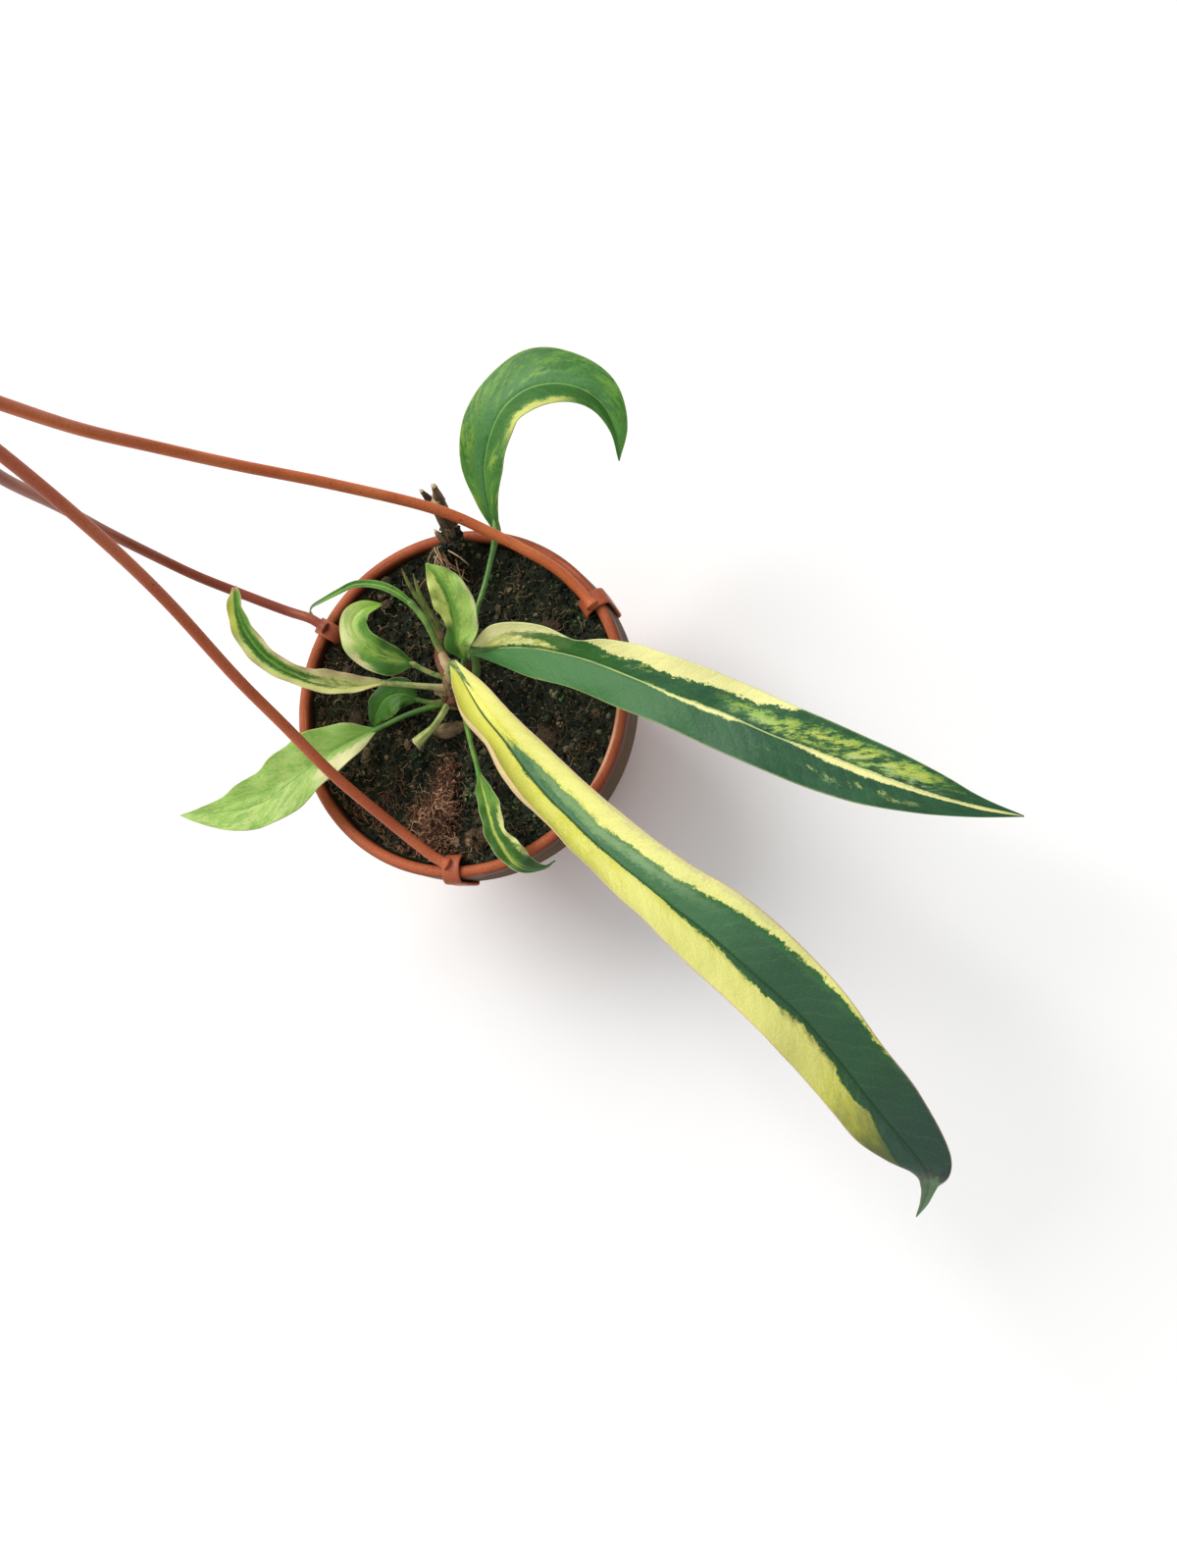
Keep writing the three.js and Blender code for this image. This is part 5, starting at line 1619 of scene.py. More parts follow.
@dataclass
class Crown:
    """The plant's short stem, with papery sheaths and dry scales round the stalks."""

    stem: Places = ((0.4, 3, 64), (0.5, 3, 74), (1, 3.6, 82), (1.8, 5, 89), (2.6, 6.2, 94))
    stem_radii: Sequence[float] = (3.2, 5.4, 5.6, 4.8, 2.4)
    loose_fibres: int = 46
    seed: int = 41
    bark: Fibrous = Fibrous(
        "crown_stem", shade(150, 132, 84), shade(108, 86, 58), shade(62, 42, 30), shade(146, 120, 82), 0.95)
    paper: Fibrous = Fibrous(
        "cream_sheath", shade(206, 190, 140), shade(190, 152, 116), shade(140, 96, 72),
        shade(176, 150, 106), 0.86, roughness=0.55)
    scale: Fibrous = Fibrous(
        "brown_scale", shade(150, 110, 84), shade(112, 66, 48), shade(58, 32, 24), shade(90, 56, 42), 0.85)
    dead: Fibrous = Fibrous(
        "dead_scale", shade(148, 128, 94), shade(108, 90, 64), shade(60, 50, 36), shade(120, 98, 72), 0.9,
        roughness=0.8)
    olive: Fibrous = Fibrous(
        "olive_sheath", shade(196, 184, 128), shade(158, 148, 92), shade(112, 98, 58), shade(180, 128, 104),
        0.88, roughness=0.55)

    def build(self) -> None:
        """Build the crown."""
        rng = np.random.default_rng(self.seed)
        shape = Shape()
        s = np.linspace(0, 1, 80)
        line = spline(self.stem, s)
        grid = np.repeat(s * 26, 30)
        rings = (0.25 * np.abs(np.sin(grid * 0.9)) ** 6).reshape(80, 30)
        shape.tube(line, spline(self.stem_radii, s), 30, 0.4, relief=rings)
        cream, brown, olive, dead = 1, 2, 3, 4
        scales = (
            (((1.4, 4.6, 86), (0.8, 7.6, 89.5), (-0.6, 11, 92), (-2.2, 14.6, 93.4)), (2.4, 2.1, 1.7, 1.0),
             (0.3, -0.3, 1), 190, cream),
            (((-0.8, 5.6, 85), (-2.0, 9.6, 89.4), (-3.2, 13.4, 91.2), (-4.0, 16.6, 92.0)),
             (2.2, 2.0, 1.6, 0.7), (-0.6, -0.2, 1), 170, brown),
            (((-1.4, 7, 84), (-3.4, 10.6, 88), (-5, 14.6, 92)), (2.6, 1.9, 0.3), (-1, 0, 0.6), 150, brown),
            (((2.8, 7, 86), (5.4, 10.2, 90), (7, 11.6, 94.6)), (2.8, 1.9, 0.4), (1, 0.2, 0.5), 160, brown),
            (((-2, 1, 80), (-5.2, 0.4, 84), (-7.2, -0.4, 88.4)), (3, 2.1, 0.5), (-0.5, -0.6, 0.8), 150,
             olive),
            (((-1, 2.6, 82), (-3.6, 2.4, 87), (-6, 2.2, 90.2)), (3.2, 2.4, 0.8), (-0.6, 0, 1), 160, olive),
            (((1.5, -7.4, 79.9), (-4.0, -9.2, 81.3), (-9.6, -9.4, 79.6)), (1.8, 3.0, 1.2), (0.1, -0.3, 1),
             110, dead),
            (((4, 1, 80), (6.4, -1.4, 84), (7.4, -2.6, 88)), (2.8, 1.8, 0.4), (0.8, -0.5, 0.6), 150, brown),
            (((1.2, 1.4, 84), (0.6, -0.8, 88.4), (-0.8, -2.4, 90.4)), (2.6, 2.0, 0.6), (0, -0.6, 1), 150,
             brown),
            (((3, 3.4, 85), (4, 3.2, 89), (4.6, 3.8, 93)), (3, 2.2, 0.5), (0.7, -0.7, 0.6), 170, cream))
        for points, widths, facing, arc, slot in scales:
            husk(shape, points, widths, facing, arc, tone=rng.uniform(), slot=slot)
        shape.lump((-2.6, -0.4, 88.2), (1.2, 1.0, 0.9), (0.2, 0.3, 0), 3, 0.2, 0.6, 0.1, brown)
        for _ in range(self.loose_fibres):
            root = line[int(rng.uniform(30, 74))] + rng.normal(0, 2.4, 3) * (1, 1, 0.6)
            tip = root + rng.normal(0, 1.6, 3) + (0, 0, rng.uniform(-0.5, 2.2))
            bend = (root + tip) / 2 + rng.normal(0, 0.4, 3)
            fibre(shape, [root, bend, tip], (0.2, 0.07), 7, 4, rng.uniform(), int(rng.integers(1, 3)))
        finishes = [self.bark, self.paper, self.scale, self.olive, self.dead]
        shape.piece("plant_crown", [finish.material() for finish in finishes], ["crown"])


@dataclass
class Growth:
    """The two new shoots on one sheath, and the cut stalk."""

    root: Places = ((-3.6, 14.6, 86.6), (-4.6, 17.6, 88), (-4.7, 20.8, 90))
    root_radii: Sequence[float] = (1.2, 1.6, 1.9)
    spears: tuple = (
        (((-4.7, 20.8, 90), (-4.8, 25.1, 93.5), (-6.3, 29, 97), (-7, 33.4, 101), (-7.1, 38.1, 105.5)),
         (1.9, 1.7, 1.2, 0.7, 0.15)),
        (((-4.8, 25.1, 93.2), (-6.2, 28.6, 96.5), (-8.2, 32.2, 100.5), (-9.5, 35.9, 104),
          (-10.2, 39.4, 107.5)),
         (1.4, 1.1, 0.8, 0.6, 0.15)))
    cut: Places = ((-0.6, 0.2, 85.4), (-2.4, -1.8, 86.4), (-4, -5.4, 87.4), (-6.9, -9.6, 88),
                   (-10.4, -12.4, 87.6), (-13, -14.3, 87))
    cut_radii: Sequence[float] = (1.2, 1.2, 1.1, 1.15, 1.7, 2)
    shoot: Stalk = Stalk(
        "new_shoot", shade(112, 136, 62), shade(176, 182, 112), shade(96, 88, 56), shade(186, 150, 118),
        0.2)
    stump: Fibrous = Fibrous(
        "cut_stalk_skin", shade(206, 208, 150), shade(172, 182, 106), shade(126, 140, 72),
        shade(232, 204, 176), 0.965, roughness=0.5)

    def build(self) -> None:
        """Build the shoots and the cut stalk."""
        shape = Shape()
        s = np.linspace(0, 1, 16)
        shape.tube(spline(self.root, s), spline(self.root_radii, s), 20)
        sides = 22
        angle = turn_steps(sides)
        for points, radii in self.spears:
            t = np.linspace(0, 1, 60)
            seam = (angle[None, :] - 2.2 - 3.2 * t[:, None]) % TURN
            roll = 0.16 * (seam / TURN) - 0.14 * bell(np.minimum(seam, TURN - seam), 0.25)
            width = np.maximum(spline(radii, t), 0.15)
            shape.tube(spline(points, t), width, sides, relief=roll * np.minimum(1, width)[:, None])
        shape.piece("rolled_new_shoots", [self.shoot.material()], ["new_shoots"])
        shape = Shape()
        s = np.linspace(0, 1, 70)
        grooves = 0.11 * np.cos(5 * angle)[None, :] + 0.05 * np.cos(11 * angle + 1)[None, :]
        shape.tube(spline(self.cut, s), spline(self.cut_radii, s), sides, relief=np.repeat(grooves, 70, 0),
                   blunt=0.08)
        shape.piece("cut_stalk_grooved", [self.stump.material()], ["cut_stalk"], sharp=60)


# Leaves


@dataclass(frozen=True)
class Ripple:
    """Waves along a blade's margins: height in mm, number, and where they start."""

    height: float
    count: float
    phase: float


@dataclass
class Leaf:
    """One leaf with its stalk.

    Lists are read at even steps along the midrib. left and right are half-widths, in mm, seen from
    above and looking towards the tip. roll leans the face to the left, fold lifts both halves, and
    a curl turns a margin up, all in degrees.
    """

    name: str
    stalk: Places
    stalk_radius: Sequence[float]
    midrib: Places
    left: Sequence[float]
    right: Sequence[float]
    fold: Values
    ripple: Ripple
    roll: Values = 0
    curl_left: Values = 0
    curl_right: Values = 0
    samples: int = 24
    curl_power: float = 3
    narrowest: float = 0.12
    right_phase: float = 0.37
    ripple_relief: float = 4
    row_step: float = 0.9
    rib_end: float = 0.38
    groove: float = 0.3
    keel: float = 0.45
    half_thickness: float = 0.3
    margin_thinning: float = 0.18

    @property
    def length(self) -> float:
        """Measure the blade along its midrib, mm."""
        return line_length(spline(self.midrib, np.linspace(0, 1, 120)))

    def frames(self, s: np.ndarray) -> tuple[np.ndarray, np.ndarray, np.ndarray, np.ndarray]:
        """Give the midrib's place, direction, face and left at each s."""
        centre = spline(self.midrib, s)
        along = heading(self.midrib, s)
        face = unit(UP - along * along[:, 2:])
        left = np.cross(face, along)
        roll = np.radians(spline(self.roll, s))[:, None]
        rolled_face = face * np.cos(roll) + left * np.sin(roll)
        rolled_left = left * np.cos(roll) - face * np.sin(roll)
        return centre, along, rolled_face, rolled_left

    def half(self, s: np.ndarray, side: int) -> tuple[np.ndarray, np.ndarray, np.ndarray]:
        """Lay out one half of the blade.

        Args:
            s: Places along the midrib.
            side: 1 for the left half, -1 for the right.

        Returns:
            Points, normals and widths, from the midrib to the margin.
        """
        centre, _, face, left = self.frames(s)
        width = np.maximum(spline(self.left if side > 0 else self.right, s), self.narrowest)
        fold = np.radians(spline(self.fold, s))[:, None]
        curl = np.radians(spline(self.curl_left if side > 0 else self.curl_right, s))[:, None]
        v = np.arange(self.samples + 1) / self.samples
        angle = fold + curl * np.maximum(v - 0.5 / self.samples, 0)[None, :] ** self.curl_power
        stride = (width / self.samples)[:, None]
        out = np.cumsum(np.cos(angle) * stride, axis=1) - np.cos(angle[:, :1]) * stride
        rise = np.cumsum(np.sin(angle) * stride, axis=1) - np.sin(angle[:, :1]) * stride
        phase = self.ripple.phase + (0 if side > 0 else self.right_phase)
        swing = np.sin(TURN * (self.ripple.count * s + phase)) * np.minimum(1, width / self.ripple_relief)
        rise = rise + self.ripple.height * swing[:, None] * v[None, :] ** 2
        points = centre[:, None] + side * out[:, :, None] * left[:, None] + rise[:, :, None] * face[:, None]
        lean = side * left[:, None] * np.sin(angle)[:, :, None]
        normals = face[:, None] * np.cos(angle)[:, :, None] - lean
        normals[:, 0] = face
        return points, normals, np.broadcast_to(width[:, None], angle.shape) * v[None, :]

    def blade(self, shape: Shape, rib_line: Line) -> None:
        """Add the blade to a shape.

        Args:
            shape: What gathers it.
            rib_line: Where the midrib's groove runs across the blade, along it.
        """
        rows = int(self.length / self.row_step)
        s = np.linspace(0, 1, rows)
        left, left_normals, left_reach = self.half(s, 1)
        right, right_normals, right_reach = self.half(s, -1)
        points = np.concatenate([left[:, ::-1], right[:, 1:]], axis=1)
        normals = np.concatenate([left_normals[:, ::-1], right_normals[:, 1:]], axis=1)
        reach = np.concatenate([left_reach[:, ::-1], -right_reach[:, 1:]], axis=1)
        v = np.concatenate([np.linspace(1, 0, self.samples + 1), np.linspace(0, -1, self.samples + 1)[1:]])
        places, values = zip(*rib_line)
        rib = np.interp(s, places, values)[:, None]
        offset = rib * np.where(rib > 0, left_reach[:, -1:], right_reach[:, -1:])
        away = reach - offset
        slant = s[:, None] * self.length - np.abs(away) * VEIN_SLANT
        flat = np.stack([slant * 0.5, away, np.full_like(away, len(self.name))], axis=2).reshape(-1, 3)
        wander = rough(flat, 6.0, 2, 5.0).reshape(away.shape)
        beat = np.abs(((slant + 2.2 * wander) / VEIN_GAP) % 1 - 0.5)
        size = np.minimum(1, np.abs(reach[:, :1]) / 5) * np.minimum(1, np.abs(reach[:, -1:]) / 3)
        inner = np.clip(np.abs(away) / 2.5, 0, 1) * (1 - np.abs(v[None, :]) ** 6)
        quilt = size * inner * (0.08 * (1 - bell(beat, 0.12)) + 0.1 * wander)
        sink = self.groove * bell(away, 0.55) * (1 - 0.6 * s[:, None]) * size
        keel = self.keel * bell(away, 0.8) * (1 - 0.7 * s[:, None]) * size
        body = self.half_thickness - self.margin_thinning * np.abs(v[None, :]) ** 4
        body = body * np.minimum(1, 0.35 + np.abs(reach[:, :1]) / 3)
        sway = size * 0.3 * rough(points.reshape(-1, 3), 14.0, 2, 9.0).reshape(away.shape)
        points = points + normals * sway[:, :, None]
        lay = np.stack([np.repeat(s[:, None], len(v), 1), np.repeat((v[None, :] + 1) / 2, rows, 0)], axis=2)
        shape.sheet(points, normals, body + quilt - sink, body - quilt * 0.8 + keel, lay=lay)

    def stem(self, shape: Shape) -> None:
        """Add the stalk, which runs on under the blade as its keel, to a shape."""
        count = 12 * (len(self.stalk) - 1) + 1
        t = np.linspace(0, 1, count)
        free = spline(self.stalk, t)
        radii = spline(self.stalk_radius, t)
        s = np.linspace(0, self.rib_end, 26)[1:]
        centre, _, face, _ = self.frames(s)
        tapering = self.stalk_radius[-1] * (1 - s / self.rib_end * 0.62) * 0.92
        blend = np.clip(s / 0.05, 0, 1)[:, None]
        keel = centre - face * (0.1 + (tapering[:, None] - 0.02) * blend)
        points = np.concatenate([free, keel])
        sides = 18
        angle = turn_steps(sides)
        groove = 0.06 * np.cos(4 * angle)[None, :] + np.zeros((len(points), 1))
        ring = 0.16 * bell(np.linspace(0, 1, len(points)) - count / len(points), 0.03)[:, None]
        shape.tube(points, np.concatenate([radii, tapering]), sides, slot=1, relief=groove + ring)

    def build(self, finish: Blade) -> None:
        """Build and dress the leaf."""
        shape = Shape()
        self.blade(shape, finish.rib_line)
        self.stem(shape)
        width = max(*self.left, *self.right)
        materials = [finish.material(self.length, width), finish.stalk.material()]
        shape.piece(f"{self.name}_fine", materials, [self.name])


LEAVES = (
    Leaf(
        name="leaf_right_long",
        stalk=((4.4, 3.4, 82.5), (7.9, 5.6, 88), (10.8, 9, 94), (12.3, 12.4, 101)),
        stalk_radius=(1.6, 1.5, 1.4, 1.3),
        midrib=(
            (12.3, 12.4, 101), (31.9, 10.4, 106), (49.8, 5.1, 110), (65.8, -2.3, 113),
            (80.6, -9.9, 115.5), (94.9, -16.4, 117), (108.2, -23.3, 118), (121.3, -28.9, 117),
            (134, -34.4, 115.5), (146.5, -39.6, 113), (159.5, -43.4, 109), (172.9, -46, 104), ),
        left=(1.6, 8.2, 9.4, 8.8, 6.2, 8.9, 10.3, 11, 11.3, 11, 10.4, 10.2, 9.9, 9.5, 9.1, 8.7, 8.3, 7.7,
              6.8, 5.4, 3.5, 1.7, 0.2),
        right=(1.6, 8.4, 9.5, 9.9, 9.3, 10.4, 10.1, 10.4, 9.2, 6.1, 3.1, 0.2),
        roll=(-20, -24, -22, -18, -12, -8, -6, -4, -4, -2, 0, 0),
        fold=(18, 20, 20, 18, 16, 14, 12, 12, 12, 12, 10, 10),
        curl_left=(20, 30, 30, 0, 20, 10, 0, 0, 0, 0, 0, 0),
        ripple=Ripple(0.5, 5, 0.2),
    ),
    Leaf(
        name="leaf_front_long",
        stalk=((2.4, 4.2, 88.6), (3.2, 5, 94), (4.8, 6.2, 100), (8.1, 7, 106)),
        stalk_radius=(1.8, 1.8, 1.7, 1.4),
        midrib=(
            (8.1, 7, 106), (23.1, -11.2, 112.5), (37.9, -27.6, 118), (51.5, -42.5, 122),
            (64.6, -55.7, 124), (77.6, -67.4, 124), (90.5, -77.9, 122), (102.5, -88.8, 118.5),
            (114.1, -100, 113.5), (123.9, -113, 107), (133.5, -126.8, 99), (143.8, -140.8, 89.5),
            (145.4, -148, 80), (144.2, -155.2, 70.5), (142.2, -161.9, 61), ),
        left=(1.6, 9.1, 11.2, 11.5, 10.8, 12.1, 14, 14.3, 13, 11.9, 11.9, 8, 2.6, 1.2, 0.2),
        right=(1.6, 6.6, 11.4, 11.6, 14.4, 13.6, 10.9, 10.2, 8.7, 8.6, 8.2, 9.2, 10, 10.1, 10.2, 10.7, 11.1,
               10.7, 10.3, 10, 9.6, 7.2, 4.2, 3, 2.4, 1.8, 1.2, 0.7, 0.2),
        roll=(-8, -6, -4, 0, 5, 8, 10, 10, 8, 5, 3, 0, 0, 0, 0),
        fold=(35, 32, 28, 22, 18, 15, 12, 10, 10, 8, 6, 4, 20, 25, 25),
        curl_left=(30, 60, 70, 60, 10, -15, -15, -15, -10, -5, 0, -10, 0, 0, 0),
        curl_right=(20, 130, 150, 110, 60, 20, 0, 0, 0, 0, 0, -10, 0, 0, 0),
        ripple=Ripple(0.5, 6, 0.6),
    ),
    Leaf(
        name="leaf_back_crescent",
        stalk=(
            (2.4, 7.8, 82), (5.4, 12.4, 87), (8, 18, 91), (10.8, 27, 94.6), (13.8, 34.4, 96),
            (16, 42.2, 96.6), (17.6, 48.6, 97), (18.9, 52.8, 98.5), ),
        stalk_radius=(1, 0.9, 0.85, 0.8, 0.8, 0.8, 1, 1.3),
        midrib=(
            (18.9, 52.8, 98.5), (17.7, 61.6, 103.5), (18.6, 70.4, 109), (22.7, 78.5, 114),
            (28.9, 85.6, 117), (38.5, 89.4, 118), (49.1, 88.6, 117.5), (57.5, 84, 115), (61.9, 76.2, 111),
            (62, 67.8, 106), ),
        left=(1, 4.4, 8.5, 11.2, 11.8, 12.6, 10.1, 7.5, 4.2, 0.2),
        right=(1, 4.2, 8.3, 9.4, 10.5, 9.9, 7, 4, 1.9, 0.2),
        roll=(8, 8, 8, 10, 10, 10, 8, 8, 6, 0),
        fold=12,
        ripple=Ripple(0.3, 4, 0.1),
    ),
    Leaf(
        name="leaf_upright_small",
        stalk=((1.6, 7.8, 86.4), (3.6, 8.8, 90), (6, 9.8, 93.6), (8, 10.8, 97.5)),
        stalk_radius=(0.9, 0.9, 0.9, 0.9),
        midrib=(
            (8, 10.8, 97.5), (7.7, 14.3, 103), (8.9, 18.4, 108.3), (9.7, 22.6, 113), (9.3, 27, 116.5),
            (7.2, 31, 119), (4.5, 35.1, 121), ),
        left=(1, 3.9, 2.5, 4.7, 5.1, 3.6, 0.2),
        right=(0.8, 5, 8.8, 8.7, 6.8, 4.4, 0.2),
        roll=(0, 0, -3, -8, -10, -10, -10),
        fold=(18, 20, 14, 12, 12, 14, 14),
        ripple=Ripple(0.6, 5, 0.5),
    ),
    Leaf(
        name="leaf_left_curled",
        stalk=((-0.6, 6.6, 85.5), (-3, 7.4, 88.5), (-6.8, 8.6, 91), (-11.8, 11.2, 94)),
        stalk_radius=(1.1, 1, 0.9, 0.9),
        midrib=(
            (-11.8, 11.2, 94), (-16.8, 12.3, 98), (-22, 13.9, 101.5), (-26.6, 18, 103.5),
            (-29.4, 23.6, 103.7), (-26.6, 28.6, 102.5), (-20.5, 30.7, 100), ),
        left=(0.9, 6.3, 6.5, 6, 4.3, 3.3, 0.2),
        right=(0.9, 3.9, 5.4, 5.2, 7.2, 4.6, 0.2),
        fold=16,
        curl_left=10,
        curl_right=30,
        ripple=Ripple(0.5, 4, 0.3),
    ),
    Leaf(
        name="leaf_left_channel",
        stalk=((-1, 3.4, 87.4), (-3, 3.4, 90.4), (-6.4, 3.4, 93), (-12.8, 3.7, 96), (-20.4, 4.4, 98)),
        stalk_radius=(1.3, 1.2, 1, 0.9, 0.9),
        midrib=(
            (-20.4, 4.4, 98), (-28.7, 2.8, 102), (-37, 3.3, 106), (-45.6, 5.8, 109), (-54.1, 10.5, 111),
            (-61.4, 17.6, 112), (-66.6, 26.8, 112), (-69.4, 37.2, 111), ),
        left=(0.9, 2.4, 3.5, 4.4, 4.9, 4.3, 4.1, 4.5, 4.5, 4.6, 4.4, 4.2, 3.9, 3.0, 1.2),
        right=(0.9, 3, 4.3, 5.4, 5.6, 4.6, 4.1, 4.6, 4.9, 5.8, 6.5, 6.0, 5.2, 4.0, 1.6),
        fold=35,
        curl_left=30,
        curl_right=30,
        ripple=Ripple(0.6, 7, 0.8),
    ),
    Leaf(
        name="leaf_left_broad",
        stalk=(
            (-2.4, 0, 83.4), (-6, -1.4, 85.8), (-11.5, -3.4, 88.5), (-17, -6, 91), (-25.3, -10.2, 93), ),
        stalk_radius=(1.2, 1, 0.9, 0.8, 0.8),
        midrib=(
            (-25.3, -10.2, 93), (-33.8, -14.6, 96.4), (-41.9, -19.8, 99.3), (-50.4, -25.6, 100.4),
            (-60.1, -30.5, 100.4), (-71.6, -33.8, 99.3), (-84.6, -36.4, 96.9), (-98.9, -37, 94), ),
        left=(0.8, 6.4, 8.5, 10.9, 12, 10.4, 5.5, 0.2),
        right=(0.8, 7.1, 9.9, 10.2, 8.2, 5.5, 2.7, 0.2),
        fold=10,
        ripple=Ripple(0.8, 5, 0.4),
    ),
    Leaf(
        name="leaf_left_folded",
        stalk=((-3, 2.4, 81), (-5.4, 1, 82), (-9.2, 0.2, 83.2), (-14.3, 1.2, 84.4)),
        stalk_radius=(1, 0.9, 0.85, 0.8),
        midrib=(
            (-14.3, 1.2, 84.4), (-19, 3.2, 86), (-25.1, 2.4, 85.6), (-29.5, -1.8, 83.8),
            (-32.2, -6.8, 81.6), ),
        left=(0.8, 6, 7.5, 5.4, 0.2),
        right=(0.8, 5.7, 4.9, 4, 0.2),
        fold=10,
        ripple=Ripple(0.5, 4, 0.2),
    ),
    Leaf(
        name="leaf_front_small",
        stalk=(
            (1.4, -0.6, 80.6), (2.6, -5.8, 82.6), (5.6, -14.7, 85), (8.1, -21, 86.6), (9.8, -25.8, 88), ),
        stalk_radius=(1.1, 0.95, 0.85, 0.85, 0.8),
        midrib=(
            (9.8, -25.8, 88), (13, -33.3, 91.3), (15.8, -40.4, 94), (19, -47.2, 96), (22.8, -52.8, 95.6),
            (27.9, -56.6, 94.2), (33.9, -57, 92.6), (37.6, -55, 92.4), ),
        left=(0.8, 4, 6, 4.8, 6.3, 4.4, 0.9, 0.3),
        right=(0.8, 2.5, 2.6, 3.1, 2.8, 2.4, 0.8, 0.3),
        fold=22,
        ripple=Ripple(0.8, 7, 0.1),
    ),
    Leaf(
        name="leaf_back_strap",
        stalk=(
            (-1.6, 13, 90.4), (-3.2, 16.6, 93), (-4.1, 20.8, 97), (-5.6, 24.4, 99.5), (-9.1, 29.2, 101.5),
            ),
        stalk_radius=(1, 1.1, 1.1, 1.1, 1.1),
        midrib=(
            (-9.1, 29.2, 101.5), (-14.5, 33.4, 103), (-20.7, 36.1, 103.5), (-28.9, 37.2, 103),
            (-36.5, 35.8, 101), (-44.2, 35, 97), (-51.2, 35.4, 91.4), (-56.4, 36, 85), (-59, 36.6, 79), ),
        left=(1, 1.5, 1.5, 1.4, 1.2, 1, 0.8, 0.7, 0.3),
        right=(1, 1.5, 1.5, 1.4, 1.2, 1, 0.8, 0.7, 0.3),
        fold=30,
        ripple=Ripple(0, 1, 0),
    ),
)

CREAM = shade(240, 236, 160)
VIVID = shade(64, 116, 40)

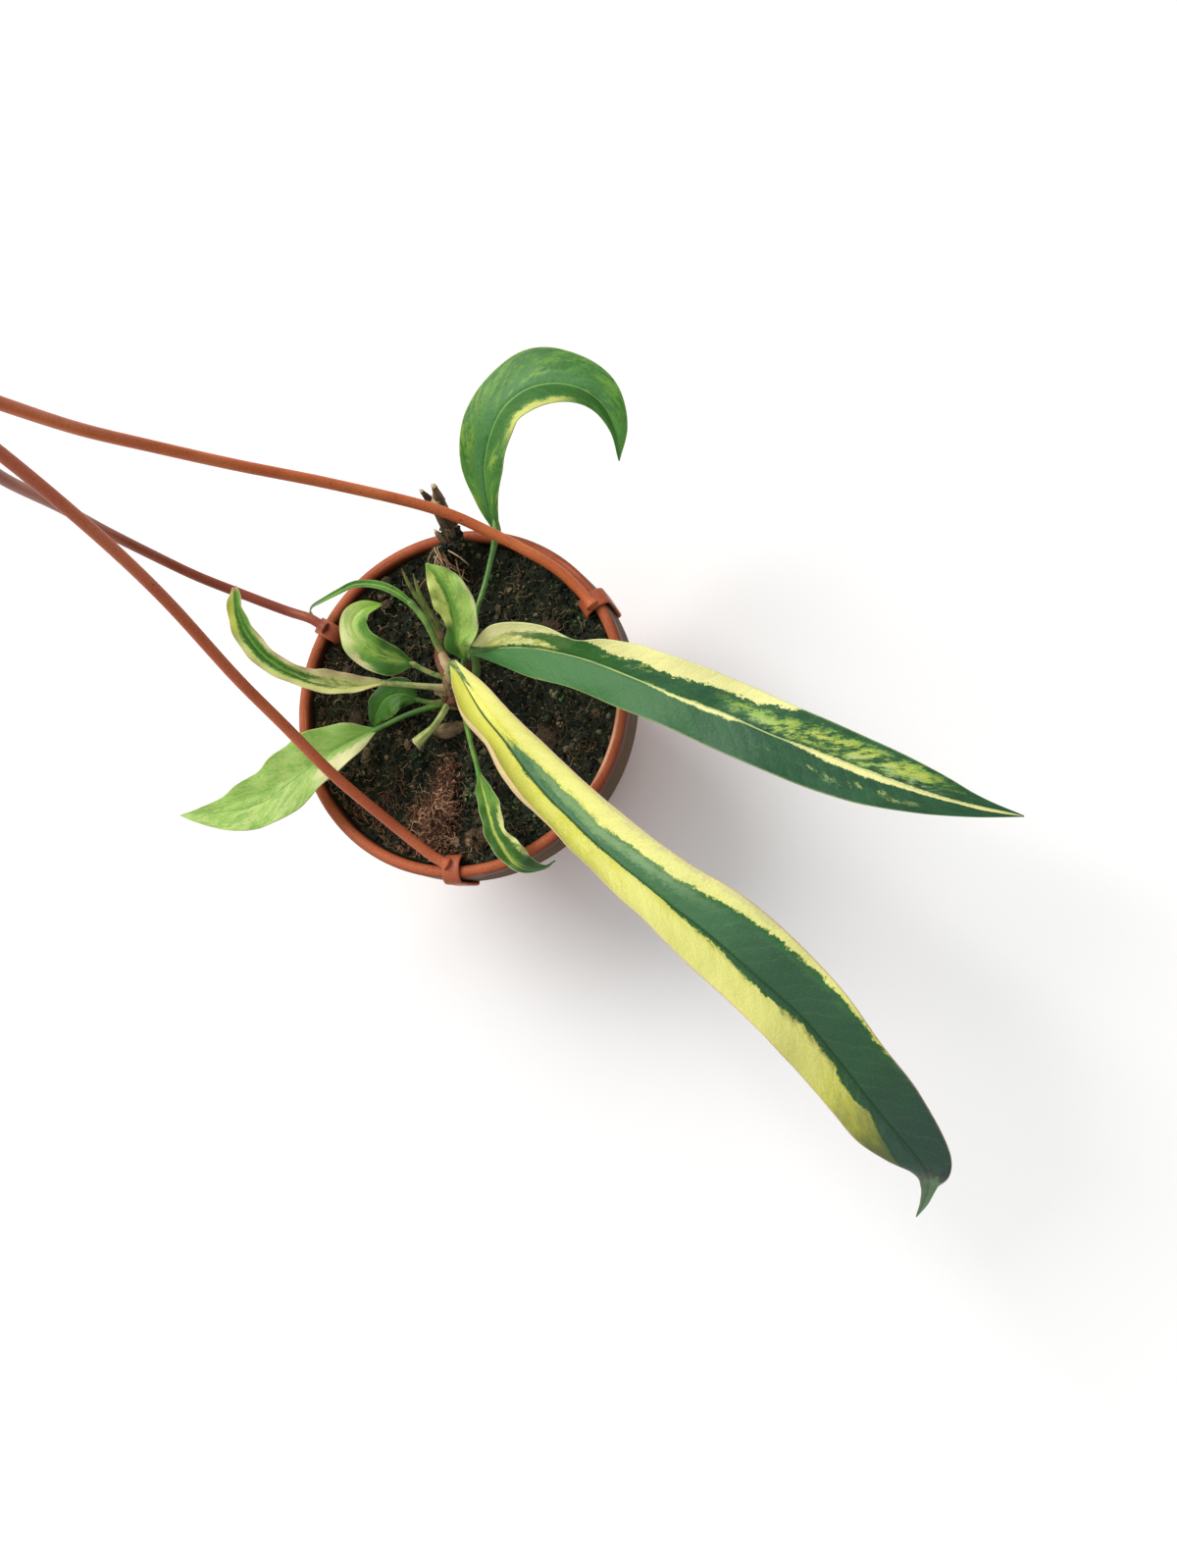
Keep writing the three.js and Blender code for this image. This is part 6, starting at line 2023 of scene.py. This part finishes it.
FINISHES = {
    "leaf_right_long": Blade(
        "variegated_dark_blade", Slot.DARK_LEAF, shade(42, 84, 54), shade(54, 100, 62),
        shade(140, 168, 116),
        patches=(
            Patch(shade(64, 122, 54), high=0.1, span=(-1, 0.34), fade=0.22, strength=0.75),
            Patch(shade(40, 78, 54), high=((0.4, -0.1), (1, 0.3)), span=(0.42, 2), fade=0.1, mottle=0.4,
                  strength=0.45),
            # Painted light: this base cream is brighter than CREAM to offset the shade on a face that turns
            # away from the key light.
            Patch(shade(252, 250, 176), ((0, 0.35), (0.03, 0.14), (0.1, 0.12), (0.14, 0.16), (0.17, 0.4),
                                         (0.19, 1.1)),
                  span=(-1, 0.185), soft=0.03, strength=1, jag=0.2, fade=0.006, halo=VIVID),
            Patch(shade(196, 204, 96), 0.1, 0.5, (0.02, 0.17), soft=0.1, mottle=0.5),
            Patch(shade(54, 108, 44), ((0.05, 0.5), (0.1, 0.42), (0.13, 0.3), (0.16, 0.1), (0.2, 0.0)),
                  ((0.05, 0.52), (0.1, 0.6), (0.13, 0.68), (0.16, 0.85), (0.185, 1.2)), (0.07, 0.25),
                  0.06, 0.2, 0.95, 0.5),
            Patch(CREAM, ((0.2, 0.95), (0.215, 0.75), (0.235, 0.56), (0.26, 0.5), (0.28, 0.55),
                          (0.33, 0.48), (0.38, 0.52), (0.43, 0.6), (0.5, 0.65), (0.53, 0.78),
                          (0.56, 0.88), (0.6, 1.2)),
                  span=(0.2, 2), soft=0.025, strength=1, jag=0.3, fade=0.006, halo=VIVID),
            Patch(shade(176, 200, 84), 0.3, 0.6, (0.21, 0.32), 0.1, 0.6, 0.8),
            Patch(shade(152, 186, 82), ((0.44, 0.35), (0.5, 0.3), (0.56, 0.12), (0.62, 0.08), (0.7, 0.12),
                                        (0.78, 0.25), (0.86, 0.5)),
                  ((0.44, 0.45), (0.5, 0.55), (0.6, 0.68), (0.7, 0.78), (0.8, 0.85)), (0.44, 0.86), 0.1,
                  0.48, 0.95, 0.8, 0.03),
            Patch(shade(216, 214, 104), ((0.54, 0.2), (0.62, 0.2), (0.7, 0.28), (0.8, 0.42)),
                  ((0.54, 0.42), (0.62, 0.58), (0.7, 0.66), (0.8, 0.7)), (0.54, 0.82), 0.1, 0.52, 0.75),
            Patch(shade(178, 204, 150), 0.1, 0.42, (0.5, 0.84), 0.1, 0.56, 0.75),
            Patch(CREAM, ((0.31, -0.02), (0.36, -0.07), (0.41, -0.13), (0.47, -0.08), (0.49, -0.02)), 0.02,
                  (0.31, 0.49), 0.04, 0.3, 0.95, 0.24, 0.01, 0.14),
            Patch(CREAM, ((0.56, -0.0), (0.64, -0.15), (0.72, -0.19), (0.8, -0.13), (0.88, -0.1),
                          (0.96, -0.3)),
                  ((0.56, 0.02), (0.7, 0.04), (0.9, 0.12), (1, 0.3)), (0.57, 2), 0.03, 0, 1, 0.15, 0.02,
                  0.12),
            Patch(shade(176, 204, 120), ((0.58, -0.42), (0.67, -0.62)), ((0.58, -0.36), (0.67, -0.48)),
                  (0.58, 0.67), 0.05, 0.56),
            Patch(shade(196, 208, 124), ((0.69, -0.52), (0.79, -0.74)), ((0.69, -0.44), (0.79, -0.58)),
                  (0.69, 0.79), 0.05, 0.54),
            Patch(shade(110, 152, 96), -0.4, -0.15, (0.5, 0.6), 0.1, 0.66, 0.5),
        ),
        midrib=shade(196, 208, 136), midrib_strength=0.72, midrib_width=0.4,
        stalk=Stalk("stalk_right_long", shade(96, 128, 66), shade(150, 168, 102), base=shade(190, 156, 124),
                    base_reach=0.18)),
    "leaf_front_long": Blade(
        "variegated_yellow_blade", Slot.YELLOW_LEAF, shade(216, 214, 94), shade(228, 226, 122),
        shade(208, 174, 144),
        patches=(
            Patch(shade(238, 236, 152), ((0, 0.0), (0.25, 0.35), (0.5, 0.7)), span=(-1, 0.6), mottle=0.15,
                  strength=0.75),
            Patch(shade(234, 232, 138), high=-0.2, span=(0.3, 0.62), mottle=0.2, strength=0.8),
            Patch(shade(212, 212, 90), high=-0.2, span=(-1, 0.2), mottle=0.2, strength=0.6),
            Patch(shade(150, 156, 60), high=-0.3, span=(0.69, 0.82), soft=0.3, mottle=0.25, strength=0.75),
            Patch(
                shade(70, 114, 76),
                ((0.0, -0.24), (0.05, -0.21), (0.1, -0.2), (0.2, -0.24), (0.25, -0.2), (0.3, -0.13),
                 (0.33, -0.05), (0.36, -0.05), (0.4, -0.12), (0.45, -0.12), (0.48, -0.2), (0.52, -0.26),
                 (0.56, -0.15), (0.63, -0.13), (0.65, -0.3), (0.68, -0.33), (0.7, -0.2), (0.72, -0.38),
                 (0.74, -0.55), (0.76, -0.85), (0.785, -1.2)),
                ((0.0, -0.17), (0.06, -0.13), (0.1, -0.09), (0.12, 0.0), (0.15, 0.16), (0.2, 0.24),
                 (0.25, 0.3), (0.27, 0.4), (0.3, 0.5), (0.36, 0.56), (0.42, 0.68), (0.48, 0.78),
                 (0.56, 0.87), (0.65, 0.95), (0.7, 1.2)),
                (0.1, 2), 0.03, strength=1, jag=0.24, fade=0.03, stipple=0.2, rim=shade(48, 104, 48)),
            Patch(shade(132, 164, 116), ((0.1, -0.02), (0.24, 0.0), (0.36, 0.36)),
                  ((0.1, 0.02), (0.15, 0.16), (0.24, 0.3), (0.36, 0.56)), (0.12, 0.38), 0.1, 0.3, 0.85,
                  0.4),
            Patch(shade(48, 80, 58), -0.2, ((0.45, 0.6), (0.7, 1.0)), (0.45, 2), 0.14, 0.32, 0.7),
            Patch(shade(56, 78, 70), span=(0.7, 2), mottle=0.2, strength=0.75),
            Patch(shade(84, 122, 74), span=(0.825, 2), fade=0.01),
            # Painted shadow: a dark line across the blade where it bends down to the drip tip.
            Patch(shade(44, 50, 38), span=(0.8, 0.826), fade=0.008, strength=0.6),
            Patch(shade(196, 190, 150), 0.88, span=(0.05, 0.5), soft=0.06, strength=0.5),
        ),
        vein=shade(180, 190, 110), vein_strength=0.05, midrib=shade(40, 76, 42), midrib_strength=0.92,
        midrib_width=0.62,
        edge=shade(216, 176, 150), edge_strength=0.6, roughness=0.42,
        rib_line=((0.0, -0.2), (0.02, -0.22), (0.1, -0.18), (0.2, -0.22), (0.27, -0.15), (0.33, -0.03),
                  (0.4, 0.0), (1.0, 0.0)),
        stalk=Stalk("stalk_front_long", shade(150, 156, 96), base=shade(220, 186, 158), base_reach=0.25)),
    "leaf_back_crescent": Blade(
        "crescent_blade", Slot.MID_LEAF, shade(52, 106, 38), shade(76, 130, 52), shade(134, 168, 96),
        patches=(
            Patch(shade(128, 164, 60), 0.55, span=(0.08, 0.46), mottle=0.52, strength=0.75),
            Patch(shade(76, 130, 76), 0.02, 0.42, (0.06, 0.85), 0.15, 0.2, 0.5),
            Patch(shade(104, 152, 52), 0.0, 1.2, (0.4, 0.9), 0.2, 0.56, 0.7),
            Patch(shade(140, 174, 70), high=-0.25, span=(0.06, 0.46), mottle=0.58),
            Patch(shade(204, 206, 108), high=-0.74, span=(0.36, 0.68), soft=0.12, mottle=0.32),
            Patch(shade(46, 94, 30), -0.62, -0.05, (0.3, 0.92), 0.15, 0.3, 0.75),
            Patch(shade(176, 196, 104), -0.05, 0.3, (0.45, 0.75), 0.1, 0.62, 0.5),
        ),
        midrib=shade(136, 174, 96), midrib_width=0.36,
        stalk=Stalk("stalk_back_crescent", shade(98, 146, 72), shade(150, 184, 118),
                    base=shade(120, 150, 86))),
    "leaf_upright_small": Blade(
        "upright_blade", Slot.PALE_LEAF, shade(102, 150, 52), shade(138, 174, 74), shade(176, 194, 128),
        patches=(
            Patch(shade(166, 200, 96), -0.9, -0.12, (0.1, 0.9), 0.15, 0.46),
            Patch(shade(84, 138, 44), -0.95, -0.1, (0.05, 0.8), 0.15, 0.6, 0.7),
            Patch(shade(184, 200, 140), -0.8, -0.2, (0.3, 0.8), 0.2, 0.64, 0.6),
            Patch(shade(98, 148, 52), -0.25, 0.12, (0.2, 0.95), 0.12, 0.3, 0.85),
            Patch(shade(214, 224, 122), 0.16, 1.2, (0.34, 0.9), 0.1, 0.3),
            Patch(shade(126, 176, 62), 0.1, 0.8, (0.5, 2), 0.15, 0.6, 0.85),
            Patch(shade(60, 108, 36), 0.2, 1.2, (0.04, 0.38), 0.12, 0.12),
            Patch(shade(210, 214, 150), high=-0.86, span=(0.1, 0.7), soft=0.08, mottle=0.3, strength=0.7),
        ),
        midrib=shade(84, 134, 44), midrib_strength=0.6,
        stalk=Stalk("stalk_upright_small", shade(84, 126, 50), base=shade(160, 146, 104), base_reach=0.4)),
    "leaf_left_curled": Blade(
        "curled_blade", Slot.MID_LEAF, shade(78, 128, 40), shade(102, 152, 56), shade(150, 180, 104),
        patches=(
            Patch(shade(54, 98, 32), span=(-1, 0.34), mottle=0.4, strength=0.85),
            Patch(shade(140, 174, 74), -0.45, 0.3, (0.08, 0.5), 0.2, 0.46),
            Patch(shade(176, 200, 106), -0.35, 1.2, (0.46, 0.88), 0.25, 0.34),
            Patch(shade(210, 214, 148), 0.25, 1.1, (0.5, 0.8), 0.2, 0.52),
            Patch(shade(216, 204, 152), 0.7, 1.2, (0.33, 0.47), 0.1, 0.3),
            Patch(shade(84, 134, 44), high=-0.5, span=(0.32, 0.7), soft=0.3, mottle=0.46, strength=0.6),
            Patch(shade(144, 182, 70), span=(0.84, 2), mottle=0.2),
        ),
        midrib=shade(158, 190, 96), midrib_strength=0.5,
        stalk=Stalk("stalk_left_curled", shade(158, 158, 96), base=shade(176, 150, 110), base_reach=0.3)),
    "leaf_left_channel": Blade(
        "channel_blade", Slot.MID_LEAF, shade(82, 132, 44), shade(110, 154, 62), shade(196, 186, 136),
        patches=(
            Patch(shade(216, 214, 142), span=(-1, 0.42), mottle=0.44, fade=0.12),
            Patch(shade(206, 208, 130), 0.52, span=(0.2, 2), soft=0.1, mottle=0.12),
            Patch(shade(214, 198, 146), high=-0.62, span=(0.05, 0.72), soft=0.1, mottle=0.3),
            Patch(shade(50, 98, 32), -0.45, -0.2, (0.3, 0.92), 0.08, 0.2),
            Patch(shade(50, 98, 32), 0.12, 0.4, (0.25, 0.92), 0.08, 0.25),
            Patch(shade(206, 222, 196), -0.1, 0.2, (0.5, 0.88), 0.08, 0.6, 0.85),
            Patch(shade(192, 198, 80), 0.4, 1.2, (0.76, 0.97), 0.15, 0.2),
            Patch(shade(176, 148, 104), span=(0.975, 2), fade=0.01),
        ),
        edge=shade(206, 176, 136), edge_strength=0.8, midrib_strength=0.4,
        stalk=Stalk("stalk_left_channel", shade(170, 172, 112), deep=shade(120, 140, 72),
                    base=shade(200, 180, 138), base_reach=0.35)),
    "leaf_left_broad": Blade(
        "marbled_pale_blade", Slot.PALE_LEAF, shade(122, 164, 68), shade(152, 184, 88),
        shade(190, 204, 146),
        patches=(
            Patch(shade(190, 206, 124), span=(0.1, 2), mottle=0.54, strength=0.8, fade=0.1),
            Patch(shade(104, 154, 56), -0.8, 0.25, (-1, 0.28), 0.3, 0.36, 0.7, fade=0.16),
            Patch(shade(112, 158, 60), high=-0.05, span=(0.25, 0.95), mottle=0.56, strength=0.85),
            Patch(shade(118, 162, 66), 0.1, 1.2, (0.35, 0.97), 0.2, 0.62, 0.8),
            Patch(shade(226, 222, 166), 0.42, 1.2, (0.03, 0.34), 0.12, 0.16),
            Patch(shade(204, 208, 96), -0.3, 0.6, (0.4, 0.85), 0.3, 0.64, 0.8),
        ),
        vein=shade(196, 208, 140), vein_strength=0.2, midrib=shade(104, 148, 62), midrib_strength=0.7,
        rib_line=((0.0, 0.02), (0.2, 0.05), (0.4, 0.1), (0.5, 0.15), (0.6, 0.25), (0.7, 0.27), (0.9, 0.1),
                  (1.0, 0.0)),
        stalk=Stalk("stalk_left_broad", shade(86, 140, 50), shade(134, 172, 82), base=shade(128, 152, 76))),
    "leaf_left_folded": Blade(
        "folded_blade", Slot.MID_LEAF, shade(44, 92, 20), shade(66, 118, 28), shade(136, 168, 92),
        patches=(
            Patch(shade(104, 146, 56), 0.2, 1.2, (0.1, 0.9), 0.2, 0.56, 0.6),
            Patch(shade(44, 86, 26), high=-0.25, span=(0.1, 2), mottle=0.3, strength=0.75),
        ),
        midrib=shade(110, 154, 64), stalk=Stalk("stalk_left_folded", shade(104, 146, 60))),
    "leaf_front_small": Blade(
        "front_small_blade", Slot.MID_LEAF, shade(74, 118, 38), shade(100, 144, 52), shade(150, 176, 100),
        patches=(
            Patch(shade(206, 210, 130), 0.7, span=(0.3, 0.72), soft=0.12, mottle=0.45),
            Patch(shade(56, 96, 32), -0.9, -0.22, (0.2, 0.66), 0.1, 0.26),
            Patch(shade(56, 96, 32), 0.26, 0.72, (0.26, 0.76), 0.1, 0.3),
            Patch(shade(188, 196, 94), ((0, 0.0), (0.5, -0.1), (0.6, -0.35), (0.75, -0.6)),
                  ((0, 0.2), (0.5, 0.2), (0.6, 0.0), (0.75, -0.35)), (0.05, 0.78), 0.08, 0.3, 0.9, 0.35),
            Patch(shade(46, 74, 52), span=(0.68, 2), mottle=0.12, strength=0.85),
            Patch(shade(196, 206, 170), -0.6, 0.6, (0.7, 0.9), 0.2, 0.66, 0.8),
        ),
        edge=shade(208, 212, 150), edge_strength=0.9,
        stalk=Stalk("stalk_front_small", shade(96, 146, 54), shade(164, 188, 112),
                    base=shade(124, 150, 70))),
    "leaf_back_strap": Blade(
        "strap_blade", Slot.MID_LEAF, shade(58, 106, 32), shade(84, 138, 44), shade(104, 148, 66),
        patches=(
            Patch(shade(146, 180, 84), -0.2, 0.3, soft=0.15, mottle=0.2, strength=0.7),
            Patch(shade(44, 84, 50), span=(0.7, 2), mottle=0.15, strength=0.8, fade=0.12),
        ),
        stalk=Stalk("stalk_back_strap", shade(112, 152, 60), base=shade(170, 160, 104), base_reach=0.3)),
}


# Studio


@dataclass
class Studio:
    """Pale floor, soft light and the camera at the photograph's angle."""

    camera_at: tuple[float, float, float] = (132.3, -74.9, 397.7)
    right: tuple[float, float, float] = (0.9642, 0.0, -0.265)
    up: tuple[float, float, float] = (0.0363, 0.9906, 0.132)
    field: float = 60
    floor_size: float = 3
    key_way: tuple[float, float, float] = (-0.6, 0.55, 1.0)
    key_distance: float = 3.0
    key_size: float = 1.7
    key_power: float = 70
    key_colour: Colour = (1.0, 0.985, 0.96)
    world_strength: Range = (0.22, 0.86)
    world_fade: Range = (-0.35, 0.85)
    world_way: tuple[float, float, float] = (-0.55, 0.35, 0.76)
    world_colour: Colour = (0.98, 0.99, 1.0)
    white: Colour = (0.92, 0.92, 0.92)

    def camera(self) -> None:
        """Place the camera."""
        lens = bpy.data.cameras.new("camera")
        lens.sensor_fit = "HORIZONTAL"
        lens.angle = math.radians(self.field)
        lens.clip_start = 0.01
        lens.clip_end = 20
        view = new_object("camera", lens)
        right, up = Vector(self.right).normalized(), Vector(self.up).normalized()
        back = right.cross(up)
        place = Matrix((right, up, back)).transposed().to_4x4()
        place.translation = Vector(self.camera_at) * MM
        view.matrix_world = place
        bpy.context.scene.camera = view

    def light(self) -> None:
        """Place the key light and light the surroundings."""
        lamp = bpy.data.lights.new("soft_key", "AREA")
        lamp.shape = "SQUARE"
        lamp.size = self.key_size
        lamp.energy = self.key_power
        lamp.color = self.key_colour
        key = new_object("soft_key", lamp)
        way = Vector(self.key_way).normalized()
        facing = way.to_track_quat("Z", "Y").to_matrix().to_4x4()
        key.matrix_world = Matrix.Translation(way * self.key_distance) @ facing
        world = bpy.data.worlds.new("surroundings")
        world.use_nodes = True
        tree = world.node_tree
        background = tree.nodes["Background"]
        background.inputs["Color"].default_value = (*self.world_colour, 1.0)
        place = tree.nodes.new("ShaderNodeTexCoord")
        lean = tree.nodes.new("ShaderNodeVectorMath")
        lean.operation = "DOT_PRODUCT"
        lean.inputs[1].default_value = Vector(self.world_way).normalized()
        fade = tree.nodes.new("ShaderNodeMapRange")
        fade.interpolation_type = "SMOOTHSTEP"
        for label, ends in (("From", self.world_fade), ("To", self.world_strength)):
            fade.inputs[f"{label} Min"].default_value, fade.inputs[f"{label} Max"].default_value = ends
        tree.links.new(place.outputs["Generated"], lean.inputs[0])
        tree.links.new(lean.outputs["Value"], fade.inputs["Value"])
        tree.links.new(fade.outputs[0], background.inputs["Strength"])
        bpy.context.scene.world = world
        bpy.context.scene.view_settings.view_transform = "Standard"

    def floor(self) -> None:
        """Lay the floor."""
        half = self.floor_size / 2
        mesh = bpy.data.meshes.new("floor")
        corners = [(-half, -half, 0), (half, -half, 0), (half, half, 0), (-half, half, 0)]
        mesh.from_pydata(corners, [], [(0, 1, 2, 3)])
        net = Net("studio_floor")
        tint = net.noise(net.place(), 300.0, 1.0)
        paint = net.mix(tint, self.white, tuple(value * 0.99 for value in self.white))
        mesh.materials.append(net.surface(paint, 0.9, Specular_IOR_Level=0.1))
        new_object("floor", mesh)

    def build(self) -> None:
        """Set up the studio."""
        self.camera()
        self.light()
        self.floor()


def main() -> None:
    """Build the studio and every piece in order."""
    logging.basicConfig(level=logging.INFO, format="%(name)s: %(message)s")
    Studio().build()
    Pot().build()
    Hanger().build()
    Mix().build()
    Stub().build()
    Crown().build()
    Growth().build()
    for leaf in LEAVES:
        leaf.build(FINISHES[leaf.name])
    bpy.context.view_layer.update()


if __name__ == "__main__":
    main()
